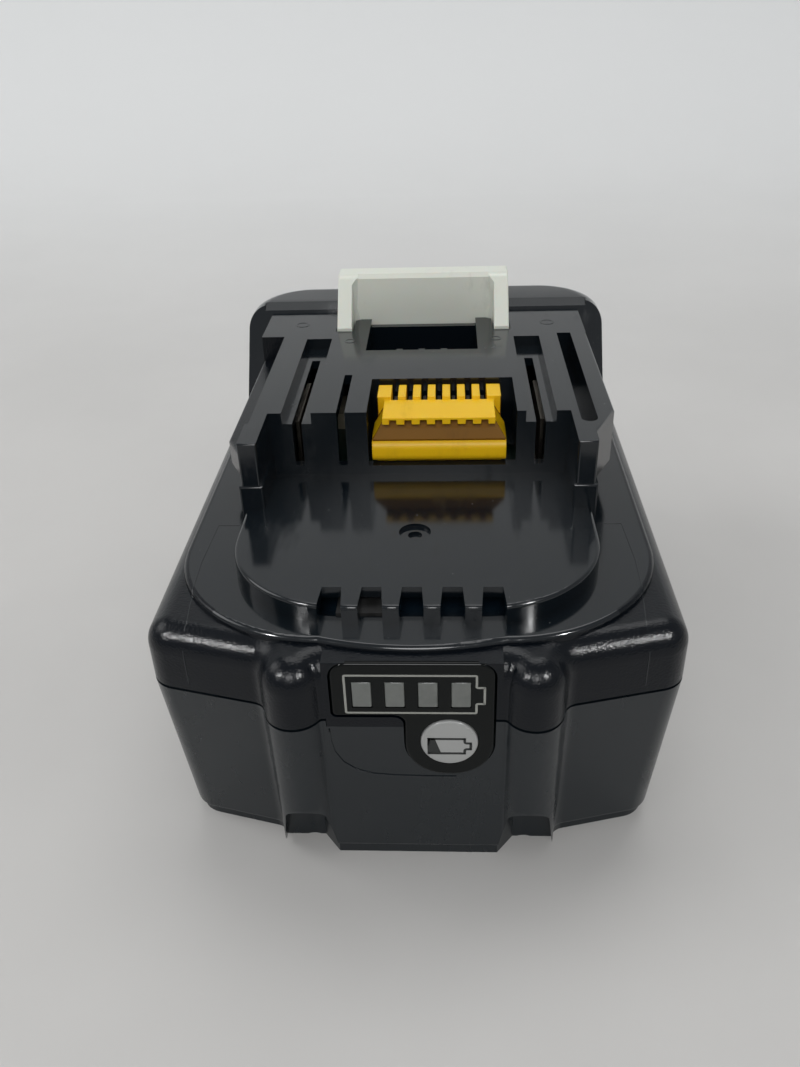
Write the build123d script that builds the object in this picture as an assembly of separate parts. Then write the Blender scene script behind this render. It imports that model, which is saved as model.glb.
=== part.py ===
from build123d import *
import math
import os

# Slide-on battery pack for cordless tools, in millimetres.
# X runs across the pack, Y from the gauge end to the latch end, Z up from the resting face.

os.makedirs("parts", exist_ok=True)

# Cells and holders
cell_radius = 9.1
cell_length = 65.0
cell_rows = 5
cell_layers = 2
bore_clearance = 0.05
holder_web = 0.2
holder_depth = 7.0
holder_corner_chamfer = 1.5
nub_height = 1.0
nub_radius = 3.0
ring_thickness = 0.3
ring_clearance = 0.3
ring_margin = 0.6
strap_thickness = 0.2
strap_half_width = 7.0
strap_margin = 1.4
lead_width = 3.0
lead_end_margin = 0.3
lead_thickness = 0.3
lead_edge_margin = 2.0
sheet_thickness = 0.2
sheet_gap = 0.1
sheet_margin = 2.5
pad_thickness_share = 1.0
pad_length = 44.0
pad_width = 4.0

# Walls and rooms of the case
wall = 1.8
floor_thickness = 1.8
lid_clearance = 0.5
side_room = 6.7
front_room = 12.95
rear_room = 9.35
base_inset = 0.5
base_edge_radius = 0.8
side_draft = 2.0
end_draft = 1.8
wing_draft_share = 0.7
band_height = 10.0
plateau_rise = 1.0
deck_rise = 3.0
rail_rise = 11.6
hump_rise = 1.5
shoulder_drop = 0.3

# Plan of the gauge end
column_x = 16.8
column_radius = 4.3
dome_flat = 0.2
gauge_face_setback = 2.3
wing_setback = 5.2
wing_slope_share = 0.25
throat_radius = 2.5
nook_radius = 0.8
front_corner_radius = 4.5
rear_corner_radius = 13.0
cavity_corner_radius = 3.0

# Plateau, deck and vents
plateau_side_inset = 2.6
plateau_front_setback = 4.3
plateau_bow = 1.9
plateau_corner_radius = 23.5
plateau_edge_radius = 0.8
deck_half_width = 28.0
deck_front_setback = 9.5
deck_corner_radius = 18.0
deck_edge_radius = 0.6
vent_count = 5
vent_pitch = 5.75
vent_width = 2.8
vent_mouth_width = 3.6
vent_depth = 4.8
vent_offset = 0.2
dimple_radius = 2.5
dimple_depth = 0.6
dimple_hole_radius = 1.1
dimple_hole_depth = 1.1
dimple_setback = 29.1

# Slotted block, rails and wings
block_front_setback = 48.3
rail_front_setback = 36.8
rail_inner_x = 25.3
rail_outer_x = 28.4
post_foot_extra = 0.4
post_step_rise = 4.1
post_edge_radius = 0.35
wing_reach = 4.0
wing_depth = 9.2
wing_ramp_length = 8.0
wing_edge_radius = 0.4
ledge_inner_x = 27.8
ledge_drop = 4.9
groove_inner_x = 26.6
groove_width = 2.7
groove_depth = 6.0
groove_front_setback = 44.0
power_slot_x = 20.5
power_slot_width = 5.0
power_slot_depth = 2.0
power_slot_length = 35.4
power_slit_width = 1.6
power_slit_length = 28.7
slit_foot_rise = 1.7
hood_margin = 1.2
hood_thickness = 1.6
thin_slot_x = 13.0
thin_slot_width = 1.4
thin_slot_length = 16.4

# Rear block
block_rear_setback = 29.8
rear_block_inset = 1.7
ear_foot_setback = 26.0
ear_top_setback = 14.2
hump_foot_setback = 16.7
hump_top_setback = 12.0
flat_half_width = 34.2
rear_edge_radius = 4.0
rear_cavity_half_width = 29.0
rear_cavity_radius = 6.0

# Rear pocket in front of the latch
pocket_half_width = 10.8
pocket_length = 18.1
pocket_back_drop = 1.2
pocket_depth = 9.9
pocket_wall = 1.5
pocket_rib_width = 1.2
pocket_rib_depth = 1.6
pocket_rib_pitch = 4.3
pocket_rib_drop = 0.4

# Latch and its springs
latch_rise = 9.1
latch_travel = 5.5
latch_half_width = 17.4
latch_arm_width = 3.0
latch_gusset = 1.0
latch_arm_reach = 7.6
latch_body_setback = 19.2
latch_body_depth = 5.7
latch_body_drop = 7.4
latch_arm_drop = 5.4
latch_lean = 0.4
latch_lean_height = 2.4
latch_top_round = 0.8
latch_ramp_start = 0.5
latch_flange_depth = 2.0
latch_flange_height = 3.9
latch_clearance = 0.3
latch_edge_radius = 0.3
guide_thickness = 1.5
shelf_thickness = 1.5
spring_x = 8.0
spring_radius = 1.9
spring_wire_radius = 0.25
spring_turns = 5
spring_clearance = 0.05
spring_room = 0.25
spring_hole_depth = 4.5

# Release button at the latch end
button_half_width = 13.0
button_height = 9.0
button_proud = 0.2
button_face_depth = 3.0
button_flange_depth = 1.7
button_flange_margin = 2.0
button_top_drop = 3.9
button_clearance = 0.4
bridge_half_width = 9.0
bridge_height = 3.0
grip_count = 3
grip_radius = 0.6
grip_pitch = 2.4

# Gauge panel, button and its small board
panel_half_width = 11.4
panel_thickness = 1.6
panel_top_margin = 0.1
panel_height = 9.5
panel_clearance = 0.1
panel_edge_radius = 0.5
panel_corner_radius = 2.4
panel_low_radius = 0.8
panel_nook_radius = 1.4
panel_back_bevel = 1.2
lobe_left_x = 1.3
lobe_depth = 11.2
lobe_radius = 5.9
tongue_outer_x = 12.2
tongue_drop = 1.5
gauge_boss_half_width = 12.3
window_count = 4
window_width = 2.75
window_height = 4.5
window_pitch = 4.55
window_first_x = 7.0
window_top_drop = 3.3
window_clearance = 0.03
gauge_button_x = 5.0
gauge_button_radius = 4.05
gauge_button_drop = 14.1
gauge_button_proud = 0.35
gauge_button_travel = 0.4
gauge_button_clearance = 0.12
gauge_button_thickness = 1.4
gauge_button_flange = 0.7
gauge_button_flange_thickness = 0.5
gauge_button_stem_radius = 1.4
gauge_button_round = 0.3
gauge_board_thickness = 1.0
gauge_board_depth = 4.6
gauge_board_height = 17.6
gauge_board_top_drop = 2.1
gauge_board_side_gap = 0.6
gauge_post_radius = 0.9
led_width = 1.6
led_depth = 0.8
switch_width = 5.0
switch_depth = 1.5
switch_plunger_radius = 1.1
switch_plunger_length = 0.4

# Control board and what stands on it
board_lift = 1.2
board_thickness = 1.2
board_half_width = 24.5
board_front_gap = 4.5
board_rear_gap = 12.7
board_corner_chamfer = 3.5
arm_width = 4.4
arm_end_margin = 3.0
arm_boss_radius = 1.9
arm_boss_depth = 3.0
arm_sink = 2.2
board_screw_inset = 4.0
board_screw_radius = 0.9
board_screw_head_radius = 1.8
board_screw_head_height = 0.8
board_screw_length = 3.4
terminal_length = 19.0
terminal_width = 6.0
terminal_base = 0.8
terminal_leaf = 0.6
terminal_gap = 0.9
terminal_front_gap = 2.6
terminal_top_drop = 4.0
fuse_length = 9.0
fuse_width = 5.0
fuse_height = 3.2
fuse_x = 16.0
fuse_gap = 0.8
thermistor_radius = 1.2
thermistor_length = 6.0
thermistor_gap = 0.2
ribbon_width = 8.0
ribbon_thickness = 0.3
ribbon_x = 3.0
ribbon_overlap = 3.0
ribbon_front_gap = 5.55
ribbon_drop = 8.4

# Signal connector in its recess
connector_x = 3.45
recess_left_x = 8.6
recess_right_x = 16.5
recess_length = 14.4
recess_sill_rise = 1.6
prong_count = 8
prong_width = 1.4
prong_gap = 1.18
end_prong_width = 2.45
connector_top_drop = 0.7
comb_length = 5.3
bar_length = 7.5
bar_side_inset = 1.25
bar_drop = 0.6
bar_thickness = 1.3
bar_skin = 0.5
connector_front_gap = 0.5
neck_setback = 1.8
neck_height = 3.1
neck_foot_setback = 0.6
lip_side_extra = 0.7
lip_height = 4.1
lip_depth = 4.0
lip_radius = 1.6
slot_floor_drop = 8.0
pin_width = 0.6
pin_top_drop = 2.2
pin_front_gap = 1.0

# Case screws, their recesses and the arches over the front ones
screw_radius = 1.5
screw_head_radius = 2.6
screw_head_height = 2.4
screw_clearance = 0.3
screw_pilot_clearance = 0.02
rear_screw_seat = 6.0
rear_screw_length = 32.0
front_screw_length = 22.0
screw_socket_radius = 1.2
screw_socket_depth = 1.6
front_screw_setback = 5.2
rear_screw_x = 26.5
rear_screw_setback = 5.8
screw_boss_wall = 0.45
arch_radius = 3.2
arch_height = 12.4
arch_depth = 7.9
arch_inner_x = 12.0
arch_outer_x = 21.3
arch_knee_depth = 4.1
arch_knee_shift = 3.0

# Cuts run past their faces by this much
overrun = 1.0

# Worked-out sizes
bore_radius = cell_radius + bore_clearance
cell_pitch = 2 * bore_radius + holder_web
holder_length = cell_rows * cell_pitch + holder_web
holder_height = cell_layers * cell_pitch + holder_web
case_width = cell_length + 2 * side_room
case_length = holder_length + front_room + rear_room
half_width = case_width / 2
half_length = case_length / 2
front_y = -half_length
rear_y = half_length
holder_front_y = front_y + front_room
holder_rear_y = holder_front_y + holder_length
cell_end_x = cell_length / 2

holder_top_z = floor_thickness + holder_height
ceiling_z = holder_top_z + lid_clearance
plateau_z = ceiling_z + wall
shoulder_z = plateau_z - plateau_rise
seam_z = shoulder_z - band_height
deck_z = plateau_z + deck_rise
rail_z = deck_z + rail_rise
rail_ceiling_z = rail_z - wall
hump_z = rail_z + hump_rise
ledge_z = rail_z - ledge_drop
wing_under_z = rail_z - wing_depth
latch_z = rail_z + latch_rise
shoulder_radius = column_radius - dome_flat

face_y = front_y + gauge_face_setback
column_y = front_y + column_radius
wing_half_width = rail_outer_x + wing_reach
block_front_y = front_y + block_front_setback
block_rear_y = rear_y - block_rear_setback
board_z = holder_top_z + board_lift
board_top_z = board_z + board_thickness
board_front_y = holder_front_y + board_front_gap
board_rear_y = holder_rear_y - board_rear_gap
board_screw_x = board_half_width - board_screw_inset
arm_end_x = board_screw_x - arm_end_margin
terminal_y = block_front_y + wall + terminal_front_gap

latch_front_y = rear_y - latch_body_setback
latch_rear_y = latch_front_y + latch_body_depth
latch_arm_y = latch_front_y - latch_arm_reach
latch_bottom_z = rail_z - latch_body_drop
well_front_y = latch_front_y - latch_lean - latch_clearance
well_rear_y = latch_rear_y + latch_clearance
flange_rear_y = latch_rear_y + latch_flange_depth
flange_top_z = rail_ceiling_z - latch_clearance
shelf_top_z = ceiling_z + shelf_thickness
spring_y = (latch_front_y + latch_rear_y) / 2

button_top_z = rail_z - button_top_drop
button_bottom_z = button_top_z - button_height
button_flange_rear_y = rear_y - wall - button_clearance
button_flange_front_y = button_flange_rear_y - button_flange_depth

panel_top_z = shoulder_z - panel_top_margin
panel_low_z = panel_top_z - panel_height
lobe_low_z = panel_low_z - lobe_depth
tongue_z = seam_z - tongue_drop
panel_back_y = face_y + panel_thickness
gauge_button_z = panel_top_z - gauge_button_drop
gauge_board_y = face_y + gauge_board_depth
gauge_board_top_z = shoulder_z - gauge_board_top_drop
window_z = panel_top_z - window_top_drop - window_height / 2

connector_width = 2 * end_prong_width + (prong_count - 2) * prong_width + (prong_count - 1) * prong_gap
connector_top_z = rail_z - connector_top_drop
connector_front_y = block_front_y + connector_front_gap
sill_z = deck_z + recess_sill_rise
front_screw_y = front_y + front_screw_setback
rear_screw_y = rear_y - rear_screw_setback


def cell_y(row):
    """Centre of a cell row."""
    return holder_front_y + holder_web + bore_radius + row * cell_pitch


def cell_z(layer):
    """Centre of a cell layer."""
    return floor_thickness + holder_web + bore_radius + layer * cell_pitch


def block(x0, x1, y0, y1, z0, z1):
    """Box between two corners."""
    size = (x1 - x0, y1 - y0, z1 - z0)
    centre = ((x0 + x1) / 2, (y0 + y1) / 2, (z0 + z1) / 2)
    return Pos(*centre) * Box(*size)


def rod(x, y, z0, z1, radius):
    """Upright cylinder."""
    return Pos(x, y, (z0 + z1) / 2) * Cylinder(radius, z1 - z0)


def rod_along_y(x, y0, y1, z, radius):
    """Cylinder along the length of the pack."""
    return Pos(x, (y0 + y1) / 2, z) * Rot(90, 0, 0) * Cylinder(radius, y1 - y0)


def rod_along_x(x0, x1, y, z, radius):
    """Cylinder across the pack."""
    return Pos((x0 + x1) / 2, y, z) * Rot(0, 90, 0) * Cylinder(radius, x1 - x0)


def profile_across(points, x0, x1):
    """Side profile of (y, z) points, carried from x0 to x1."""
    face = make_face(Polyline(*[(0, y, z) for y, z in points], close=True))
    return Pos(x0, 0, 0) * extrude(face, x1 - x0, dir=(1, 0, 0))


def plan_prism(points, z0, z1):
    """Plan outline of (x, y) points, carried from z0 to z1."""
    face = make_face(Polyline(*[(x, y, z0) for x, y in points], close=True))
    return extrude(face, z1 - z0, dir=(0, 0, 1))


def face_of(shape):
    """The one face of a flat shape."""
    return shape if isinstance(shape, Face) else shape.faces()[0]


def round_pair(face, x, y, radius):
    """Rounds the two corners of a flat face that lie nearest to (x, y) and its mirror image."""
    near = face.vertices().sort_by(lambda v: (abs(v.X) - x) ** 2 + (v.Y - y) ** 2)
    return face_of(fillet(near[:2], radius))


def case_outline(side=0, end=0):
    """Plan of the case, drawn in by side and end."""
    hw = half_width - side
    rear = rear_y - end
    centre = column_y + end
    face = face_y + end
    root_x = column_x + column_radius

    def wing(x):
        drawn = end * (1 + wing_draft_share)
        return front_y + drawn + wing_setback + wing_slope_share * (x - root_x)

    inner_x = column_x - math.sqrt(column_radius ** 2 - (centre - face) ** 2)
    lift = wing(column_x) - centre
    square = 1 + wing_slope_share ** 2
    half_b = wing_slope_share * lift
    reach = (math.sqrt(half_b ** 2 - square * (lift ** 2 - column_radius ** 2)) - half_b) / square
    outer = (column_x + reach, wing(column_x + reach))
    edges = [Line((-hw, rear), (hw, rear)), Line((-inner_x, face), (inner_x, face))]
    for s in (1, -1):
        crest = (s * column_x, centre - column_radius)
        edges.append(ThreePointArc((s * inner_x, face), crest, (s * outer[0], outer[1])))
        edges.append(Line((s * outer[0], outer[1]), (s * hw, wing(hw))))
        edges.append(Line((s * hw, wing(hw)), (s * hw, rear)))
    plan = face_of(make_face(edges))
    plan = round_pair(plan, hw, rear, rear_corner_radius)
    plan = round_pair(plan, hw, wing(hw), front_corner_radius)
    plan = round_pair(plan, outer[0], outer[1], throat_radius)
    return round_pair(plan, inner_x, face, nook_radius)


def cavity_outline(side=0, end=0):
    """Plan of the room inside the case: the columns stay solid."""
    hw = half_width - side - wall
    slant = wall * math.sqrt(1 + wing_slope_share ** 2)
    root_x = column_x + column_radius

    def wing(x):
        drawn = end * (1 + wing_draft_share) + slant
        return front_y + drawn + wing_setback + wing_slope_share * (x - root_x)

    step_x = column_x - column_radius
    front = face_y + end + wall
    points = [(hw, rear_y - end - wall), (hw, wing(hw)), (root_x, wing(root_x)), (step_x, wing(root_x))]
    points.append((step_x, front))
    mirrored = [(-x, y) for x, y in reversed(points)]
    plan = face_of(make_face(Polyline(*points, *mirrored, close=True)))
    plan = round_pair(plan, hw, rear_y - end - wall, rear_corner_radius - wall)
    return round_pair(plan, hw, wing(hw), cavity_corner_radius)


def plateau_outline():
    """Plan of the raised gloss plateau with its bowed front."""
    hw = half_width - plateau_side_inset
    front = front_y + plateau_front_setback
    corner = front + plateau_bow
    cx = hw - plateau_corner_radius
    cy = corner + plateau_corner_radius
    diagonal = plateau_corner_radius * math.sqrt(0.5)
    rear = rear_y - ear_top_setback
    edges = [Line((-hw, rear), (hw, rear)), ThreePointArc((-cx, corner), (0, front), (cx, corner))]
    for s in (1, -1):
        edges.append(Line((s * hw, rear), (s * hw, cy)))
        middle = (s * (cx + diagonal), cy - diagonal)
        edges.append(ThreePointArc((s * hw, cy), middle, (s * cx, corner)))
    return face_of(make_face(edges))


def deck_outline(inset=0):
    """Plan of the deck with its rounded front corners."""
    hw = deck_half_width - inset
    front = front_y + deck_front_setback + inset
    plan = face_of(make_face(Polyline((hw, block_rear_y), (hw, front), (-hw, front), (-hw, block_rear_y), close=True)))
    return round_pair(plan, hw, front, deck_corner_radius - inset)


def rounded_top(solid, radius):
    """Rounds every edge of the highest flat face."""
    return fillet(solid.faces().sort_by(Axis.Z)[-1].edges(), radius)


def lower_case():
    """Tub with drafted walls, a base pad, screw bosses and arched screw recesses."""
    foot = case_outline(side_draft, end_draft)
    tub = loft([Pos(0, 0, floor_thickness) * foot, Pos(0, 0, seam_z) * case_outline()], ruled=True)
    tub = fillet(tub.faces().sort_by(Axis.Z)[0].edges(), base_edge_radius)
    pad = case_outline(side_draft + base_inset, end_draft + base_inset)
    tub += extrude(pad, floor_thickness + base_edge_radius)
    sections = [Pos(0, 0, floor_thickness) * cavity_outline(side_draft, end_draft)]
    sections.append(Pos(0, 0, seam_z + overrun) * cavity_outline())
    room = loft(sections, ruled=True)
    for s in (1, -1):
        x0, x1 = sorted((s * (arch_inner_x - wall), s * (arch_outer_x + wall)))
        room -= block(x0, x1, front_y, front_y + arch_depth + wall, 0, arch_height + wall)
    tub -= room
    boss_radius = screw_head_radius + screw_clearance + screw_boss_wall
    for x, y, seat, length in screw_places():
        tub += rod(x, y, floor_thickness, seam_z, boss_radius)
    for s in (1, -1):
        tub -= foot_recess(s)
    for x, y, seat, length in screw_places():
        tub -= rod(x, y, -overrun, seat, screw_head_radius + screw_clearance)
        tub -= rod(x, y, seat - overrun, seam_z + overrun, screw_radius + screw_clearance)
    tub -= block(-tongue_outer_x - panel_clearance, -lobe_left_x, face_y - overrun, face_y + wall + overrun,
                 tongue_z - panel_clearance, seam_z + overrun)
    return tub - gauge_opening()


def foot_recess(side):
    """Arched recess at a column's foot, open at the front and below."""
    y0 = front_y - overrun
    y1 = front_y + arch_depth
    outer = column_x + arch_radius
    spring_z = arch_height - arch_radius
    arch = [(arch_inner_x, -overrun), (column_x - arch_radius, spring_z), (outer, spring_z),
            (arch_outer_x, -overrun)]
    face = make_face(Polyline(*[(side * x, y0, z) for x, z in arch], close=True))
    tunnel = extrude(face, y1 - y0, dir=(0, 1, 0)) + rod_along_y(side * column_x, y0, y1, spring_z, arch_radius)
    plan = [(arch_inner_x, y0), (arch_inner_x, front_y + arch_knee_depth), (arch_inner_x + arch_knee_shift, y1),
            (arch_outer_x, y1), (arch_outer_x, y0)]
    return tunnel & plan_prism([(side * x, y) for x, y in plan], -overrun, arch_height)


def screw_places():
    """Place, seat height and length of the four case screws."""
    front = [(s * column_x, front_screw_y, arch_height + wall, front_screw_length) for s in (-1, 1)]
    rear = [(s * rear_screw_x, rear_screw_y, rear_screw_seat, rear_screw_length) for s in (-1, 1)]
    return front + rear


def panel_prism(y0, y1, grow=0):
    """The gauge panel's outline, carried from y0 to y1 and grown by a clearance."""
    hw = panel_half_width + grow
    top = panel_top_z + grow
    low = panel_low_z - grow
    lobe = lobe_low_z - grow
    left = -lobe_left_x - grow
    points = [(-hw, top), (hw, top), (hw, lobe), (left, lobe), (left, low), (-hw, low)]
    face = make_face(Polyline(*[(x, y0, z) for x, z in points], close=True))
    prism = extrude(face, y1 - y0, dir=(0, 1, 0))
    rounds = [((-hw, top), panel_corner_radius + grow), ((hw, top), panel_corner_radius + grow),
              ((-hw, low), panel_low_radius + grow), ((left, low), panel_nook_radius - grow),
              ((left, lobe), lobe_radius + grow), ((hw, lobe), lobe_radius + grow)]
    for (x, z), radius in rounds:
        corners = prism.edges().filter_by(Axis.Y)
        near = corners.sort_by(lambda e: (e.center().X - x) ** 2 + (e.center().Z - z) ** 2)
        prism = fillet(near[0], radius)
    return prism


def panel_bevel(y1, grow=0):
    """What the bevel behind the panel's top edge takes away, as far as y1."""
    y0 = face_y + panel_edge_radius
    top = panel_top_z + grow
    slope = panel_back_bevel / (panel_thickness - panel_edge_radius)
    bevel = [(y0, top), (y1, top - slope * (y1 - y0)), (y1, top + overrun), (y0, top + overrun)]
    side = panel_half_width + grow + overrun
    return profile_across(bevel, -side, side)


def gauge_opening():
    """Opening in the two shells that the gauge panel and its back fill."""
    back = face_y + wall + overrun
    opening = panel_prism(face_y - overrun - gauge_face_setback, back, panel_clearance)
    return opening - panel_bevel(back + overrun, panel_clearance)


def rear_block():
    """Full-width rear block with slanted ears, a low hump and rounded rear edges."""
    body = extrude(Pos(0, 0, seam_z) * case_outline(rear_block_inset), hump_z - seam_z)
    slant = [(front_y - overrun, seam_z - overrun), (rear_y - ear_foot_setback, seam_z - overrun),
             (rear_y - ear_foot_setback, plateau_z), (rear_y - ear_top_setback, hump_z),
             (rear_y - ear_top_setback, hump_z + overrun), (front_y - overrun, hump_z + overrun)]
    body -= profile_across(slant, -half_width - overrun, half_width + overrun)
    top = body.faces().sort_by(Axis.Z)[-1]
    edges = [e for e in top.edges() if e.center().Y > rear_y - ear_top_setback + overrun / 2]
    body = fillet(edges, rear_edge_radius)
    flat = [(front_y, rail_z), (rear_y - hump_foot_setback, rail_z), (rear_y - hump_top_setback, hump_z),
            (rear_y - hump_top_setback, hump_z + overrun), (front_y, hump_z + overrun)]
    return body - profile_across(flat, -flat_half_width, flat_half_width)


def rails():
    """Slotted block, the two rail posts in front of it and the wings over the tool's channels."""
    post_y = front_y + rail_front_setback
    inner_x = rail_outer_x - overrun
    join_y = rear_y - ear_top_setback
    body = block(-rail_outer_x, rail_outer_x, block_front_y, join_y, plateau_z - overrun, rail_z)
    for s in (1, -1):
        x0, x1 = sorted((s * rail_inner_x, s * rail_outer_x))
        post = block(x0, x1, post_y, block_front_y + overrun, plateau_z - overrun, rail_z)
        post = fillet(post.faces().sort_by(Axis.Y)[0].edges(), post_edge_radius)
        step_z = deck_z + post_step_rise
        foot = block(x0 - post_foot_extra, x1 + post_foot_extra, post_y - post_foot_extra,
                     block_front_y + overrun, plateau_z - overrun, step_z)
        foot = fillet(foot.faces().sort_by(Axis.Y)[0].edges(), post_edge_radius)
        body += post + foot
        top = rail_z if s > 0 else ledge_z
        plan = [(s * (rail_outer_x - overrun), block_front_y - wing_ramp_length),
                (s * rail_outer_x, block_front_y - wing_ramp_length),
                (s * wing_half_width, block_front_y), (s * wing_half_width, join_y),
                (s * (rail_outer_x - overrun), join_y)]
        wing = plan_prism(plan, wing_under_z, top)
        outer = [e for e in wing.faces().sort_by(Axis.Z)[-1].edges() if abs(e.center().X) > rail_outer_x]
        body += fillet(outer[:], wing_edge_radius)
        x0, x1 = sorted((s * inner_x, s * wing_half_width))
        body += block(x0, x1, block_rear_y, join_y, plateau_z - overrun, rail_z)
    ledge = block(-wing_half_width - overrun, -ledge_inner_x, block_front_y - wing_ramp_length / 2,
                  block_rear_y, ledge_z, rail_z + overrun)
    return body - ledge


def upper_cavity():
    """Rooms under the band, the deck, the slotted block and the rear block."""
    band = extrude(Pos(0, 0, seam_z - overrun) * cavity_outline(), shoulder_z - wall - shoulder_drop - seam_z + overrun)
    side = cell_end_x + holder_web + lead_thickness + strap_thickness
    cells = block(-side, side, holder_front_y - lid_clearance, holder_rear_y + lid_clearance, seam_z, ceiling_z)
    deck = extrude(Pos(0, 0, seam_z) * deck_outline(wall), deck_z - wall - seam_z)
    hw = deck_half_width - wall
    deck += block(-hw, hw, 0, block_rear_y + 2 * wall, seam_z, deck_z - wall)
    inner_x = rail_inner_x - lid_clearance
    slots = block(-inner_x, inner_x, block_front_y + wall, block_rear_y + 2 * wall, seam_z, rail_ceiling_z)
    hw = rear_cavity_half_width
    tail = block(-hw, hw, block_rear_y + wall, rear_y - wall, seam_z, rail_ceiling_z)
    back = [e for e in tail.edges().filter_by(Axis.Z) if e.center().Y > rear_y - 2 * wall]
    return band + cells + deck + slots + fillet(back, rear_cavity_radius)


def inner_walls():
    """Walls that the upper case carries inside: pocket, recess, hoods, latch guides and shelf."""
    pocket_y = well_front_y - pocket_length
    side = pocket_half_width + pocket_wall
    walls = block(-side, side, pocket_y - pocket_wall, latch_front_y - latch_clearance,
                  rail_z - pocket_depth - pocket_wall, rail_ceiling_z)
    recess_rear = block_front_y + recess_length
    walls += block(-recess_left_x - pocket_wall, recess_right_x + pocket_wall, block_front_y,
                   recess_rear + pocket_wall, deck_z - wall, rail_ceiling_z)
    for s in (1, -1):
        hood_x = power_slot_x - power_slot_width / 2 - hood_margin
        x0, x1 = sorted((s * hood_x, s * (rail_inner_x - lid_clearance)))
        hood_z = rail_z - power_slot_depth - hood_thickness
        walls += block(x0, x1, block_front_y, block_rear_y, hood_z, rail_ceiling_z)
        guide = latch_half_width + latch_clearance
        x0, x1 = sorted((s * guide, s * (guide + guide_thickness)))
        walls += block(x0, x1, latch_front_y, flange_rear_y, ceiling_z, rail_ceiling_z)
    shelf_x = latch_half_width + latch_clearance + guide_thickness
    return walls + block(-shelf_x, shelf_x, latch_front_y, flange_rear_y, ceiling_z, shelf_top_z)


def top_openings():
    """Everything cut into the top: vents, slots, recess, pocket, groove and the latch well."""
    cuts = []
    for i in range(vent_count):
        x = (i - (vent_count - 1) / 2) * vent_pitch - vent_offset
        mouth_y = front_y + deck_front_setback
        points = [(x - vent_mouth_width / 2, mouth_y - overrun), (x + vent_mouth_width / 2, mouth_y - overrun),
                  (x + vent_width / 2, mouth_y + vent_depth), (x - vent_width / 2, mouth_y + vent_depth)]
        cuts.append(plan_prism(points, plateau_z, deck_z + overrun))
    dimple_y = front_y + dimple_setback
    cuts.append(rod(-vent_offset, dimple_y, deck_z - dimple_depth, deck_z + overrun, dimple_radius))
    cuts.append(rod(-vent_offset, dimple_y, deck_z - dimple_hole_depth, deck_z + overrun, dimple_hole_radius))
    slit_z = deck_z + slit_foot_rise
    front = block_front_y - overrun
    for s in (1, -1):
        x = s * power_slot_x
        width = power_slot_width / 2
        cuts.append(block(x - width, x + width, front, block_front_y + power_slot_length,
                          rail_z - power_slot_depth, rail_z + overrun))
        width = power_slit_width / 2
        cuts.append(block(x - width, x + width, front, block_front_y + power_slit_length, slit_z, rail_z))
    width = thin_slot_width / 2
    cuts.append(block(-thin_slot_x - width, -thin_slot_x + width, front, block_front_y + thin_slot_length,
                      slit_z, rail_z + overrun))
    groove_y0 = front_y + groove_front_setback + groove_width / 2
    groove_x = groove_inner_x + groove_width / 2
    cuts.append(rod(groove_x, groove_y0, rail_z - groove_depth, rail_z + overrun, groove_width / 2))
    cuts.append(block(groove_inner_x, groove_inner_x + groove_width, groove_y0, block_rear_y,
                      rail_z - groove_depth, rail_z + overrun))
    recess_rear = block_front_y + recess_length
    cuts.append(block(-recess_left_x, recess_right_x, front, recess_rear, sill_z, rail_z + overrun))
    cuts.append(block(-recess_left_x, recess_right_x, block_front_y + wall, recess_rear, seam_z, rail_z))
    cuts.append(latch_well())
    side = pocket_half_width
    cuts.append(block(-side, side, well_front_y - pocket_length, well_front_y - pocket_wall,
                      rail_z - pocket_depth, rail_z + overrun))
    cuts.append(block(-side, side, well_front_y - pocket_length, well_front_y + overrun,
                      rail_z - pocket_back_drop, rail_z + overrun))
    return cuts


def latch_well():
    """Slot in the top that the latch's crossbar and arms slide through."""
    side = latch_half_width + latch_clearance
    low = rail_z - latch_body_drop
    well = block(-side, side, well_front_y, well_rear_y, low, hump_z + overrun)
    inner = latch_half_width - latch_arm_width - latch_clearance
    for s in (1, -1):
        x0, x1 = sorted((s * inner, s * side))
        well += block(x0, x1, latch_arm_y - latch_clearance, well_rear_y, low - latch_travel, hump_z + overrun)
        well += gusset_prism(s, low, hump_z + overrun, 2 * latch_clearance)
    return well


def upper_case():
    """Upper shell with all that it carries."""
    band = rounded_top(extrude(Pos(0, 0, seam_z) * case_outline(), band_height), shoulder_radius)
    plateau = extrude(Pos(0, 0, seam_z) * plateau_outline(), plateau_z - seam_z)
    deck = extrude(Pos(0, 0, seam_z) * deck_outline(), deck_z - seam_z)
    body = band + rounded_top(plateau, plateau_edge_radius) + rounded_top(deck, deck_edge_radius)
    boss = gauge_boss_half_width
    body += block(-boss, boss, face_y, holder_front_y, seam_z, shoulder_z)
    body += rails() + rear_block()
    body -= upper_cavity()
    body += inner_walls()
    for cut in top_openings():
        body -= cut
    body += pocket_ribs()
    body += block(-tongue_outer_x, -lobe_left_x, face_y, face_y + wall, tongue_z, seam_z + overrun)
    body -= gauge_opening()
    body -= release_opening()
    for x, y, seat, length in screw_places():
        if y > 0:
            body += rod(x, y, seam_z, plateau_z - overrun, screw_head_radius + screw_boss_wall)
        tip = seat + length + screw_clearance
        body -= rod(x, y, seam_z - overrun, tip, screw_radius + screw_pilot_clearance)
    return body


def pocket_ribs():
    """Three small ribs on the front wall of the rear pocket."""
    ribs = []
    y = well_front_y - pocket_length
    low = rail_z - pocket_depth
    for i in (-1, 0, 1):
        x = i * pocket_rib_pitch
        ribs.append(block(x - pocket_rib_width / 2, x + pocket_rib_width / 2, y, y + pocket_rib_depth,
                          low, rail_z - pocket_rib_drop))
    return ribs


def release_opening():
    """Window in the rear wall that the release button slides in."""
    side = button_half_width + button_clearance
    return block(-side, side, rear_y - wall - overrun, rear_y + overrun,
                 button_bottom_z - latch_travel - button_clearance, button_top_z + button_clearance)


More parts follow.
